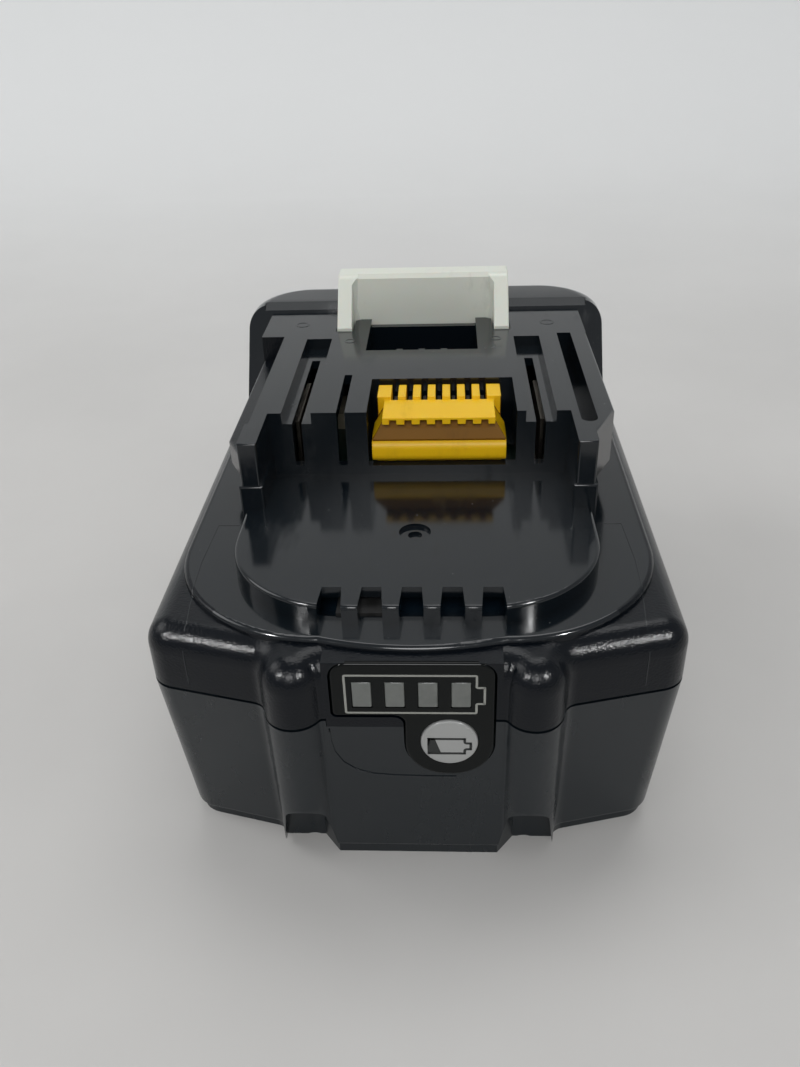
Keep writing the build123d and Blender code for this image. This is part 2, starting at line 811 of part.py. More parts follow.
def gauge_panel():
    """Fascia with window holes, the button's hole and posts for the small board."""
    panel = panel_prism(face_y, panel_back_y)
    outer = panel.faces().sort_by(Axis.Y)[0].edges()
    panel = fillet(outer, panel_edge_radius) - panel_bevel(panel_back_y + overrun)
    for x in window_places():
        panel -= window_block(x, face_y - overrun, panel_back_y + overrun, window_clearance)
    hole = gauge_button_radius + gauge_button_clearance
    panel -= rod_along_y(gauge_button_x, face_y - overrun, panel_back_y + overrun, gauge_button_z, hole)
    for x, z in gauge_posts():
        panel += rod_along_y(x, panel_back_y, gauge_board_y, z, gauge_post_radius)
    return panel


def gauge_posts():
    """Where the panel's posts meet the small board."""
    edge = panel_half_width - 2 * gauge_post_radius
    high = panel_top_z - 2 * gauge_post_radius - gauge_board_top_drop
    low = panel_low_z + gauge_post_radius
    return [(-edge, high), (edge, high), (edge, low), (-edge, low)]


def window_places():
    """Centres of the gauge windows."""
    return [i * window_pitch - window_first_x for i in range(window_count)]


def window_block(x, y0, y1, grow=0):
    """One gauge window, grown by a clearance."""
    w = window_width / 2 + grow
    h = window_height / 2 + grow
    return block(x - w, x + w, y0, y1, window_z - h, window_z + h)


def gauge_windows():
    """Light pipes from the panel's face to just in front of the lamps."""
    back = gauge_board_y - led_depth - gauge_button_travel
    return [window_block(x, face_y, back) for x in window_places()]


def gauge_button():
    """Round check button with a flange behind the panel and a stem over the switch."""
    y0 = face_y - gauge_button_proud
    y1 = panel_back_y + gauge_button_clearance + gauge_button_flange_thickness
    cap = rod_along_y(gauge_button_x, y0, y1, gauge_button_z, gauge_button_radius)
    cap = fillet(cap.faces().sort_by(Axis.Y)[0].edges(), gauge_button_round)
    flange_y = panel_back_y + gauge_button_clearance
    cap += rod_along_y(gauge_button_x, flange_y, y1, gauge_button_z, gauge_button_radius + gauge_button_flange)
    tip = gauge_board_y - switch_depth - switch_plunger_length - gauge_button_travel
    return cap + rod_along_y(gauge_button_x, flange_y, tip, gauge_button_z, gauge_button_stem_radius)


def gauge_board():
    """Small board behind the gauge panel."""
    hw = panel_half_width - gauge_board_side_gap
    return block(-hw, hw, gauge_board_y, gauge_board_y + gauge_board_thickness,
                 gauge_board_top_z - gauge_board_height, gauge_board_top_z)


def gauge_leds():
    """Four lamps, one behind each window."""
    w = led_width / 2
    return [block(x - w, x + w, gauge_board_y - led_depth, gauge_board_y, window_z - w, window_z + w)
            for x in window_places()]


def tact_switch():
    """Switch body and plunger behind the check button."""
    w = switch_width / 2
    x, z = gauge_button_x, gauge_button_z
    body = block(x - w, x + w, gauge_board_y - switch_depth, gauge_board_y, z - w, z + w)
    tip = gauge_board_y - switch_depth - switch_plunger_length
    return body + rod_along_y(x, tip, gauge_board_y - switch_depth, z, switch_plunger_radius)


def gusset_prism(side, z0, z1, grow=0):
    """Corner between an arm and the crossbar, grown by a clearance."""
    inner = latch_half_width - latch_arm_width
    x0, x1 = inner - latch_gusset - grow, inner + latch_edge_radius
    y = latch_front_y - grow
    corner = [(x0, latch_front_y + overrun), (x0, y), (x1, y - latch_gusset - latch_edge_radius),
              (x1, latch_front_y + overrun)]
    return plan_prism([(side * x, y) for x, y in corner], z0, z1)


def latch():
    """Hook with two ramp arms, a crossbar and a stop flange under the top."""
    inner = latch_half_width - latch_arm_width
    lean_z = rail_z + latch_lean_height
    bar = [(latch_front_y, latch_bottom_z), (latch_front_y, rail_z), (latch_front_y - latch_lean, lean_z),
           (latch_front_y, latch_z - latch_top_round), (latch_front_y + latch_top_round, latch_z),
           (latch_rear_y - latch_top_round, latch_z), (latch_rear_y, latch_z - latch_top_round),
           (latch_rear_y, latch_bottom_z)]
    body = profile_across(bar, -latch_half_width + latch_edge_radius, latch_half_width - latch_edge_radius)
    start_z = rail_z + latch_ramp_start
    arm = [(latch_arm_y, rail_z - latch_arm_drop), (latch_arm_y, start_z),
           (latch_front_y - latch_lean, latch_z - latch_top_round), (latch_front_y + latch_top_round, latch_z),
           (latch_rear_y - latch_top_round, latch_z), (latch_rear_y, latch_z - latch_top_round),
           (latch_rear_y, rail_z - latch_arm_drop)]
    for s in (1, -1):
        x0, x1 = sorted((s * inner, s * latch_half_width))
        piece = profile_across(arm, x0, x1)
        long_edges = [e for e in piece.edges() if e.center().Z > start_z and abs(e.tangent_at(0.5).X) < 0.5]
        body += fillet(long_edges, latch_edge_radius)
        gusset = gusset_prism(s, rail_z - latch_arm_drop, latch_z)
        body += gusset & profile_across(arm, -latch_half_width, latch_half_width)
    body += block(-latch_half_width, latch_half_width, latch_rear_y - overrun, flange_rear_y,
                  flange_top_z - latch_flange_height, flange_top_z)
    for s in (1, -1):
        hole = spring_radius + spring_wire_radius + spring_room
        body -= rod(s * spring_x, spring_y, latch_bottom_z - overrun, latch_bottom_z + spring_hole_depth, hole)
    return body


def latch_spring(side):
    """Coil spring from the shelf up into the latch."""
    low = shelf_top_z + spring_clearance + spring_wire_radius
    high = latch_bottom_z + spring_hole_depth - spring_clearance - spring_wire_radius
    height = high - low
    path = Helix(height / spring_turns, height, spring_radius)
    start = path.position_at(0)
    ring = Plane(origin=start, z_dir=path.tangent_at(0)) * Circle(spring_wire_radius)
    return Pos(side * spring_x, spring_y, low) * sweep(ring, path=path)


def release_button():
    """Thumb button with grip ribs, a guide flange and a bridge to the latch."""
    hw = button_half_width
    face_plate = block(-hw, hw, button_flange_rear_y - overrun, rear_y - button_proud, button_bottom_z, button_top_z)
    outer = face_plate.faces().sort_by(Axis.Y)[-1].edges()
    body = fillet(outer, grip_radius)
    middle = (button_bottom_z + button_top_z) / 2
    for i in range(grip_count):
        z = middle + (i - (grip_count - 1) / 2) * grip_pitch
        body -= rod_along_x(-hw + 2 * grip_radius, hw - 2 * grip_radius, rear_y - button_proud, z, grip_radius)
    side = hw + button_flange_margin
    low = button_bottom_z - latch_travel - button_flange_margin
    high = flange_top_z
    body += block(-side, side, button_flange_front_y, button_flange_rear_y, low, high)
    bridge_z = flange_top_z - latch_flange_height
    return body + block(-bridge_half_width, bridge_half_width, flange_rear_y, button_flange_front_y,
                        bridge_z, bridge_z + bridge_height)


def cell(row, layer):
    """One round cell with its positive nub."""
    side = 1 if row % 2 == 0 else -1
    x0 = -side * cell_end_x
    x1 = side * (cell_end_x - nub_height)
    low, high = sorted((x0, x1))
    y, z = cell_y(row), cell_z(layer)
    body = rod_along_x(low, high, y, z, cell_radius)
    low, high = sorted((x1, side * cell_end_x))
    return body + rod_along_x(low, high, y, z, nub_radius)


def all_cells():
    """Row and layer of every cell."""
    return [(row, layer) for layer in range(cell_layers) for row in range(cell_rows)]


def cell_insulators():
    """Ring washers round the positive nubs."""
    rings = []
    for row, layer in all_cells():
        side = 1 if row % 2 == 0 else -1
        start = side * (cell_end_x - nub_height)
        low, high = sorted((start, start + side * ring_thickness))
        y, z = cell_y(row), cell_z(layer)
        ring = rod_along_x(low, high, y, z, cell_radius - ring_margin)
        rings.append(ring - rod_along_x(low - overrun, high + overrun, y, z, nub_radius + ring_clearance))
    return rings


def board_rests():
    """Where the holders' arms carry the control board: between cell rows."""
    places = []
    for s in (-1, 1):
        for row in (0, cell_rows - 2):
            y = (cell_y(row) + cell_y(row + 1)) / 2
            places.append((s, s * board_screw_x, y))
    return places


def cell_holder(side):
    """Plate with a bore for each cell end, and two arms that carry the control board."""
    inner = cell_end_x - holder_depth
    x0, x1 = sorted((side * inner, side * cell_end_x))
    body = block(x0, x1, holder_front_y, holder_rear_y, floor_thickness, holder_top_z)
    body = chamfer(body.edges().filter_by(Axis.Z), holder_corner_chamfer)
    for s, x, y in board_rests():
        if s != side:
            continue
        a0, a1 = sorted((side * arm_end_x, side * (inner + lid_clearance)))
        body += block(a0, a1, y - arm_width / 2, y + arm_width / 2, holder_top_z - arm_sink, board_z)
        body += rod(x, y, holder_top_z - arm_boss_depth, board_z, arm_boss_radius)
        body -= rod(x, y, board_top_z - board_screw_length - screw_clearance, board_z + overrun,
                    board_screw_radius + screw_pilot_clearance)
    for row, layer in all_cells():
        body -= rod_along_x(min(x0, side * arm_end_x) - overrun, max(x1, side * arm_end_x) + overrun,
                            cell_y(row), cell_z(layer), bore_radius)
    return body


def strap_groups(side):
    """Rows joined by each strap on one side of the series chain."""
    if side < 0:
        return [rows for rows in ([0], [1, 2], [3, 4]) if rows[-1] < cell_rows]
    return [rows for rows in ([0, 1], [2, 3], [4]) if rows[-1] < cell_rows]


def cell_straps(side):
    """Welded straps across the cell ends of one side."""
    x0, x1 = sorted((side * cell_end_x, side * (cell_end_x + strap_thickness)))
    low = cell_z(0) - strap_half_width
    high = cell_z(cell_layers - 1) + strap_half_width
    return [block(x0, x1, cell_y(rows[0]) - strap_half_width, cell_y(rows[-1]) + strap_half_width, low, high)
            for rows in strap_groups(side)]


def power_lead(side, y):
    """Bent strip from an end strap over the holder to the underside of the control board."""
    face = cell_end_x + strap_thickness
    inner = board_half_width - lead_edge_margin
    points = [(face, cell_z(cell_layers - 1)), (face + lead_thickness, cell_z(cell_layers - 1)),
              (face + lead_thickness, holder_top_z + lead_thickness),
              (inner + lead_thickness, holder_top_z + lead_thickness), (inner + lead_thickness, board_z),
              (inner, board_z), (inner, holder_top_z), (face, holder_top_z)]
    flat = make_face(Polyline(*[(side * x, 0, z) for x, z in points], close=True))
    return Pos(0, y - lead_width / 2, 0) * extrude(flat, lead_width, dir=(0, 1, 0))


def insulation_sheet(side):
    """Sheet between the straps of one side and the case wall."""
    start = cell_end_x + strap_thickness + lead_thickness + sheet_gap
    x0, x1 = sorted((side * start, side * (start + sheet_thickness)))
    return block(x0, x1, holder_front_y + sheet_margin, holder_rear_y - sheet_margin,
                 floor_thickness, holder_top_z - sheet_margin)


def foam_pads():
    """Foam strips between the holders and the upper case."""
    middle = (holder_front_y + holder_rear_y) / 2
    pads = []
    for s in (1, -1):
        x = s * (cell_end_x - holder_depth / 2)
        pads.append(block(x - pad_width / 2, x + pad_width / 2, middle - pad_length / 2, middle + pad_length / 2,
                          holder_top_z, holder_top_z + lid_clearance * pad_thickness_share))
    return pads


def control_board():
    """Board over the cells with cut front corners and holes for its screws."""
    board = block(-board_half_width, board_half_width, board_front_y, board_rear_y, board_z, board_top_z)
    board = chamfer([e for e in board.edges().filter_by(Axis.Z) if e.center().Y < 0], board_corner_chamfer)
    for s, x, y in board_rests():
        board -= rod(x, y, board_z - overrun, board_top_z + overrun, board_screw_radius + screw_clearance)
    return board


def board_screws():
    """Screws that hold the control board down on the holders' arms."""
    screws = []
    for s, x, y in board_rests():
        screw = rod(x, y, board_top_z, board_top_z + board_screw_head_height, board_screw_head_radius)
        screws.append(screw + rod(x, y, board_top_z - board_screw_length, board_top_z, board_screw_radius))
    return screws


def power_terminal(side):
    """Spring clip with two leaves under a power slit."""
    x = side * power_slot_x
    y0 = terminal_y
    top = rail_z - terminal_top_drop
    hw = terminal_width / 2
    clip = block(x - hw, x + hw, y0, y0 + terminal_length, board_top_z, board_top_z + terminal_base)
    for s in (1, -1):
        x0, x1 = sorted((x + s * terminal_gap / 2, x + s * (terminal_gap / 2 + terminal_leaf)))
        clip += block(x0, x1, y0 + overrun, y0 + terminal_length - overrun, board_top_z, top)
    return clip


def fuse():
    """Fuse block on the control board, behind a terminal."""
    y = terminal_y + terminal_length + fuse_gap
    return block(-fuse_x - fuse_width / 2, -fuse_x + fuse_width / 2, y, y + fuse_length,
                 board_top_z, board_top_z + fuse_height)


def thermistor():
    """Temperature bead lying in the valley between two top cells."""
    row = cell_rows // 2
    y = (cell_y(row) + cell_y(row - 1)) / 2
    reach = cell_radius + thermistor_radius + thermistor_gap
    z = cell_z(cell_layers - 1) + math.sqrt(reach ** 2 - (cell_pitch / 2) ** 2)
    return rod_along_x(-thermistor_length / 2, thermistor_length / 2, y, z, thermistor_radius)


def gauge_ribbon():
    """Flat cable from the control board to the back of the gauge board."""
    t = ribbon_thickness
    top = board_top_z + t
    bend_y = board_front_y - ribbon_front_gap
    low = board_top_z - ribbon_drop
    end = gauge_board_y + gauge_board_thickness
    points = [(board_front_y + ribbon_overlap, board_top_z), (board_front_y + ribbon_overlap, top),
              (bend_y - t, top), (bend_y - t, low + t), (end, low + t), (end, low), (bend_y, low),
              (bend_y, board_top_z)]
    return profile_across(points, -ribbon_x - ribbon_width, -ribbon_x)


def signal_connector():
    """Connector with a comb behind, a notched bar, a set-back neck and a rounded lip in front."""
    x = connector_x
    hw = connector_width / 2
    bar_rear = connector_front_y + bar_length
    rear = bar_rear + comb_length
    bar_z = connector_top_z - bar_drop
    under_z = bar_z - bar_thickness
    lip_top = under_z - neck_height
    neck_y = connector_front_y + neck_setback
    body = block(x - hw, x + hw, neck_y, bar_rear, board_top_z, lip_top)
    narrow = block(x - hw + bar_side_inset, x + hw - bar_side_inset, neck_y, bar_rear, under_z, under_z + overrun)
    wide = block(x - hw - lip_side_extra, x + hw + lip_side_extra, connector_front_y + neck_foot_setback,
                 bar_rear, lip_top - overrun, lip_top)
    ends = [narrow.faces().sort_by(Axis.Z)[0], wide.faces().sort_by(Axis.Z)[-1]]
    body += loft(ends, ruled=True)
    body += block(x - hw + bar_side_inset, x + hw - bar_side_inset, connector_front_y, bar_rear, under_z, bar_z)
    lip = block(x - hw - lip_side_extra, x + hw + lip_side_extra, connector_front_y,
                connector_front_y + lip_depth, lip_top - lip_height, lip_top)
    front = lip.faces().sort_by(Axis.Y)[0].edges().filter_by(Axis.X)
    body += fillet(front, lip_radius)
    body += block(x - hw, x + hw, bar_rear, rear, board_top_z, connector_top_z)
    for slot_x in connector_slots():
        w = prong_gap / 2
        body -= block(slot_x - w, slot_x + w, bar_rear, rear + overrun,
                      connector_top_z - slot_floor_drop, connector_top_z + overrun)
        body -= block(slot_x - w, slot_x + w, connector_front_y - overrun, bar_rear + overrun,
                      under_z, bar_z - bar_skin)
    return body


def connector_slots():
    """Centres of the contact slots between the prongs."""
    pitch = prong_width + prong_gap
    first = connector_x - connector_width / 2 + end_prong_width + prong_gap / 2
    return [first + i * pitch for i in range(prong_count - 1)]


def connector_pins():
    """Contacts that stand in the connector's slots."""
    y0 = connector_front_y + bar_length + pin_front_gap
    y1 = connector_front_y + bar_length + comb_length
    low = connector_top_z - slot_floor_drop
    w = pin_width / 2
    return [block(x - w, x + w, y0, y1, low, connector_top_z - pin_top_drop) for x in connector_slots()]


def case_screws():
    """Four screws that join the shells from below."""
    screws = []
    for x, y, seat, length in screw_places():
        low = seat - screw_head_height
        head = rod(x, y, low, seat, screw_head_radius)
        head -= rod(x, y, low - overrun, low + screw_socket_depth, screw_socket_radius)
        screws.append(head + rod(x, y, seat, seat + length, screw_radius))
    return screws


def write(name, shape, colour):
    """Writes one node: a solid, or a group of separate solids."""
    items = shape if isinstance(shape, list) else [shape]
    solids = [solid for item in items for solid in item.solids()]
    node = solids[0] if len(solids) == 1 else Compound(children=solids)
    node.label = name
    node.color = Color(*colour)
    export_step(node, "parts/" + name + ".step")


def main():
    """Builds and writes every node."""
    black = (0.05, 0.05, 0.06)
    grey = (0.6, 0.62, 0.6)
    metal = (0.75, 0.75, 0.77)
    green = (0.1, 0.3, 0.18)
    write("lower_case", lower_case(), black)
    write("upper_case", upper_case(), black)
    write("gauge_panel", gauge_panel(), black)
    write("gauge_windows", gauge_windows(), grey)
    write("gauge_button", gauge_button(), grey)
    write("gauge_board", gauge_board(), green)
    write("gauge_leds", gauge_leds(), grey)
    write("tact_switch", tact_switch(), metal)
    write("latch", latch(), grey)
    write("release_button", release_button(), black)
    write("latch_spring_left", latch_spring(-1), metal)
    write("latch_spring_right", latch_spring(1), metal)
    for number, (row, layer) in enumerate(all_cells(), 1):
        write("cell_%02d" % number, cell(row, layer), (0.15, 0.35, 0.6))
    write("cell_insulators", cell_insulators(), grey)
    write("cell_holder_left", cell_holder(-1), grey)
    write("cell_holder_right", cell_holder(1), grey)
    write("cell_straps_left", cell_straps(-1), metal)
    write("cell_straps_right", cell_straps(1), metal)
    write("negative_lead", power_lead(-1, cell_y(0)), metal)
    lead_y = board_rear_y - lead_width / 2 - lead_end_margin
    write("positive_lead", power_lead(1, lead_y), metal)
    write("insulation_sheet_left", insulation_sheet(-1), grey)
    write("insulation_sheet_right", insulation_sheet(1), grey)
    write("foam_pads", foam_pads(), black)
    write("control_board", control_board(), green)
    write("board_screws", board_screws(), metal)
    write("positive_terminal", power_terminal(1), metal)
    write("negative_terminal", power_terminal(-1), metal)
    write("fuse", fuse(), grey)
    write("thermistor", thermistor(), black)
    write("gauge_ribbon", gauge_ribbon(), grey)
    write("signal_connector", signal_connector(), (0.95, 0.75, 0.05))
    write("connector_pins", connector_pins(), metal)
    write("case_screws", case_screws(), metal)


main()
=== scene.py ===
"""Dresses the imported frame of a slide-on battery pack for cordless power tools."""

import logging
import math
from collections.abc import Callable, Iterable, Sequence
from dataclasses import dataclass
from enum import Enum

import bmesh
import bpy
from mathutils import Matrix, Vector
from mathutils.bvhtree import BVHTree


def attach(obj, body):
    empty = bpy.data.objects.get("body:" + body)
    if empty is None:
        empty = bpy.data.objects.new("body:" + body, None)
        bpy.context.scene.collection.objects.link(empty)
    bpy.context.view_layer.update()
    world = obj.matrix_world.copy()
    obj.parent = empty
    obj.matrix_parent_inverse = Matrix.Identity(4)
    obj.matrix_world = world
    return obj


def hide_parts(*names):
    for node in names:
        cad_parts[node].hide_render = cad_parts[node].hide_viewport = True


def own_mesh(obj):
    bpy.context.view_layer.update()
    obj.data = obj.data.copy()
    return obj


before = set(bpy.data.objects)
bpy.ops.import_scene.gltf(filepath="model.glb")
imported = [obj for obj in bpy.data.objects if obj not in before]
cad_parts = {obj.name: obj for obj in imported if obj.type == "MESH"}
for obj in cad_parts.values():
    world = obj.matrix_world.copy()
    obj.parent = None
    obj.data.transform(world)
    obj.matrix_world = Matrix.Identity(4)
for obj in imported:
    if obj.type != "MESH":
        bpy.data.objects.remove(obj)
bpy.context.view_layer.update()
MM = 0.001
NODE_WELD = 0.002 * MM
TOUCH = 0.001 * MM
UP = Vector((0, 0, 1))
INTO_FRONT = Vector((0, 1, 0))
log = logging.getLogger("battery_pack")

Socket = bpy.types.NodeSocket
Colour = tuple[float, float, float]
Axes = tuple[float, float, float]
Point = tuple[float, float]
Layer = tuple[float, float]  # cells per metre and amount of a shared effect
Paint = dict[str, Socket | float]


class Body(Enum):
    """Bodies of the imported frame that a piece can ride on."""

    PACK = "pack"
    LATCH = "latch_carriage"
    GAUGE_KEY = "gauge_key"


class Slot(Enum):
    """Material slots of the record."""

    LOWER = "case_lower"
    UPPER = "case_upper"
    FASCIA = "gauge_fascia"
    LIGHT_PIPE = "light_pipe"
    BUTTON = "button_face"
    LATCH = "latch_resin"
    SPRING = "spring_wire"
    THUMB = "thumb_button"
    CONNECTOR = "connector_resin"


class Effect(Enum):
    """Surface effects that several finishes share, each one node group."""

    TONE = "mould_tone"
    GRAIN = "fine_grain"
    SMUDGE = "handling_smudge"
    DUST = "settled_dust"
    WEAR = "edge_wear"


class Graph:
    """Short calls that add and join the nodes of one tree."""

    def __init__(self, tree: bpy.types.NodeTree) -> None:
        """Keeps the tree of a material or a group, which the other calls add to."""
        self.tree = tree

    def feed(self, inputs: bpy.types.NodeInputs, values: dict) -> None:
        """Joins sockets to a node's inputs and writes plain values on them, by name or number."""
        for name, value in values.items():
            if isinstance(value, Socket):
                self.tree.links.new(value, inputs[name])
            else:
                inputs[name].default_value = value

    def add(self, kind: str, inputs: dict | None = None, **settings: object) -> bpy.types.Node:
        """Adds a node.

        Args:
            kind: Blender's type name of the node.
            inputs: Sockets or values by input name or number.
            settings: Properties of the node.

        Returns:
            The new node.
        """
        node = self.tree.nodes.new(kind)
        for name, value in settings.items():
            setattr(node, name, value)
        self.feed(node.inputs, inputs or {})
        return node

    def math(self, operation: str, first: Socket | float, second: Socket | float = 0.0) -> Socket:
        """Joins two values by one operation and returns the result's socket."""
        return self.add("ShaderNodeMath", {0: first, 1: second}, operation=operation).outputs[0]

    def grow(self, value: Socket, gain: Socket | float, base: Socket | float) -> Socket:
        """Multiplies a value by a gain, adds a base and returns the result's socket."""
        return self.add("ShaderNodeMath", {0: value, 1: gain, 2: base}, operation="MULTIPLY_ADD").outputs[0]

    def scale(self, vector: Socket | Colour, factor: Socket) -> Socket:
        """Multiplies a vector or a colour by a factor and returns the result's socket."""
        return self.add("ShaderNodeVectorMath", {0: vector, "Scale": factor}, operation="SCALE").outputs[0]

    def fade(self, value: Socket, start: Socket | float, end: Socket | float, low: float = 0.0,
             high: float = 1.0) -> Socket:
        """Smooth step of a value, low before the start and high after the end."""
        names = {"Value": value, "From Min": start, "From Max": end, "To Min": low, "To Max": high}
        return self.add("ShaderNodeMapRange", names, interpolation_type="SMOOTHSTEP").outputs["Result"]

    def blend(self, share: Socket | float, first: Socket | Colour, second: Socket | Colour) -> Socket:
        """Mixes two colours by a share and returns the result's socket."""
        one, two = (c if isinstance(c, Socket) else (*c, 1.0) for c in (first, second))
        return self.add("ShaderNodeMix", {0: share, 6: one, 7: two}, data_type="RGBA").outputs[2]

    def place(self, scale: float = 1.0, stretch: Axes = (1, 1, 1)) -> Socket:
        """Object coordinates, scaled to cells per metre and stretched along the axes."""
        where = self.add("ShaderNodeTexCoord").outputs["Object"]
        factors = tuple(scale * s for s in stretch)
        return self.add("ShaderNodeMapping", {"Vector": where, "Scale": factors}).outputs[0]

    def spread(self, scale: Socket, stretch: Axes = (1, 1, 1)) -> Socket:
        """Object coordinates times a group's Scale, stretched along the axes."""
        return self.scale(self.place(1.0, stretch), scale)

    def axis(self, letter: str) -> Socket:
        """One object coordinate, in metres."""
        where = self.add("ShaderNodeTexCoord").outputs["Object"]
        return self.add("ShaderNodeSeparateXYZ", {0: where}).outputs[letter]

    def noise(self, vector: Socket, detail: float = 2.0, rough: float = 0.5) -> Socket:
        """Noise of scale one on a vector."""
        names = {"Vector": vector, "Scale": 1.0, "Detail": detail, "Roughness": rough}
        return self.add("ShaderNodeTexNoise", names).outputs["Fac"]

    def effect(self, which: Effect, scale: float, amount: float) -> Socket:
        """Places a shared effect, at cells per metre and an amount, and returns its output."""
        tree = EffectLibrary.tree(which)
        return self.add("ShaderNodeGroup", {0: scale, 1: amount}, node_tree=tree).outputs[0]

    def relief(self, height: Socket, depth_mm: float) -> Socket:
        """Bump of a depth in millimetres, as a normal."""
        names = {"Height": height, "Strength": 1.0, "Distance": depth_mm * MM}
        return self.add("ShaderNodeBump", names).outputs["Normal"]


class EffectLibrary:
    """Builds each shared effect's node group once."""

    flow_stretch: Axes = (1, 0.6, 1)
    pit_scale: float = 0.55
    wipe_stretch: Axes = (7, 0.8, 2)
    wipe_share: float = 0.35
    smudge_start: float = 0.72
    smudge_reach: float = 0.4
    smudge_fade: float = 0.16
    speck_size: float = 0.55
    lying: Point = (0.3, 0.9)
    rubbed: Point = (0.42, 0.62)

    @classmethod
    def tree(cls, which: Effect) -> bpy.types.NodeTree:
        """Finds or builds the node group of an effect and returns its tree."""
        found = bpy.data.node_groups.get(which.value)
        if found:
            return found
        tree = bpy.data.node_groups.new(which.value, "ShaderNodeTree")
        graph = Graph(tree)
        second, output, make = {
            Effect.TONE: ("Amount", "Tone", cls.tone),
            Effect.GRAIN: ("Coarse Share", "Height", cls.grain),
            Effect.SMUDGE: ("Cover", "Mask", cls.smudge),
            Effect.DUST: ("Cover", "Mask", cls.dust),
            Effect.WEAR: ("Amount", "Mask", cls.wear),
        }[which]
        for name, way in (("Scale", "INPUT"), (second, "INPUT"), (output, "OUTPUT")):
            tree.interface.new_socket(name=name, in_out=way, socket_type="NodeSocketFloat")
        given = graph.add("NodeGroupInput").outputs
        graph.add("NodeGroupOutput", {0: make(graph, given[0], given[1])})
        return tree

    @classmethod
    def tone(cls, graph: Graph, scale: Socket, amount: Socket) -> Socket:
        """Slow change of shade about one, as flow marks give a moulding."""
        cloud = graph.noise(graph.spread(scale, cls.flow_stretch), 3.0)
        return graph.grow(graph.math("SUBTRACT", cloud, 0.5), amount, 1.0)

    @classmethod
    def grain(cls, graph: Graph, scale: Socket, coarse: Socket) -> Socket:
        """Height of a fine eroded grain, with a share of coarser pits."""
        vector = graph.spread(scale)
        fine = graph.noise(vector, 2.0, 0.6)
        pits = graph.add("ShaderNodeTexVoronoi", {"Vector": vector, "Scale": cls.pit_scale}).outputs
        deep = graph.math("MULTIPLY", pits["Distance"], coarse)
        return graph.grow(fine, graph.math("SUBTRACT", 1.0, coarse), deep)

    @classmethod
    def smudge(cls, graph: Graph, scale: Socket, cover: Socket) -> Socket:
        """Soft patches and drawn-out wipes where hands have been."""
        patches = graph.noise(graph.spread(scale), 5.0, 0.62)
        wipes = graph.noise(graph.spread(scale, cls.wipe_stretch), 3.0, 0.6)
        both = graph.grow(patches, 1 - cls.wipe_share, graph.math("MULTIPLY", wipes, cls.wipe_share))
        start = graph.grow(cover, -cls.smudge_reach, cls.smudge_start)
        return graph.fade(both, start, graph.math("ADD", start, cls.smudge_fade))

    @classmethod
    def dust(cls, graph: Graph, scale: Socket, cover: Socket) -> Socket:
        """Small specks and lint that lie on faces that look up."""
        cells = graph.add("ShaderNodeTexVoronoi", {"Vector": graph.spread(scale), "Scale": 1.0})
        chance = graph.add("ShaderNodeSeparateColor", {0: cells.outputs["Color"]}).outputs[0]
        size = graph.math("MULTIPLY", graph.math("SUBTRACT", cover, chance), cls.speck_size)
        speck = graph.math("LESS_THAN", cells.outputs["Distance"], size)
        normal = graph.add("ShaderNodeTexCoord").outputs["Normal"]
        up = graph.fade(graph.add("ShaderNodeSeparateXYZ", {0: normal}).outputs["Z"], *cls.lying)
        return graph.math("MULTIPLY", speck, up)

    @classmethod
    def wear(cls, graph: Graph, scale: Socket, amount: Socket) -> Socket:
        """Patches of rubbing along the softened edges that the mesh marks as worn."""
        worn = graph.add("ShaderNodeAttribute", attribute_name="worn").outputs["Fac"]
        patches = graph.fade(graph.noise(graph.spread(scale), 4.0, 0.6), *cls.rubbed)
        return graph.math("MULTIPLY", graph.math("MULTIPLY", worn, patches), amount)


def shaded(colour: Colour, share: float) -> Colour:
    """A colour made darker or lighter by a share."""
    return tuple(c * share for c in colour)


@dataclass(frozen=True)
class Finish:
    """What every finish shares: a name and a material that is built once."""

    name: str

    def material(self) -> bpy.types.Material:
        """Finds or builds the material and returns it."""
        title = f"{self.name}_finish"
        found = bpy.data.materials.get(title)
        if found:
            return found
        material = bpy.data.materials.new(title)
        material.use_nodes = True
        graph = Graph(material.node_tree)
        graph.feed(material.node_tree.nodes["Principled BSDF"].inputs, self.paint(graph))
        return material

    def paint(self, graph: Graph) -> Paint:
        """Returns the shader's inputs."""
        raise NotImplementedError


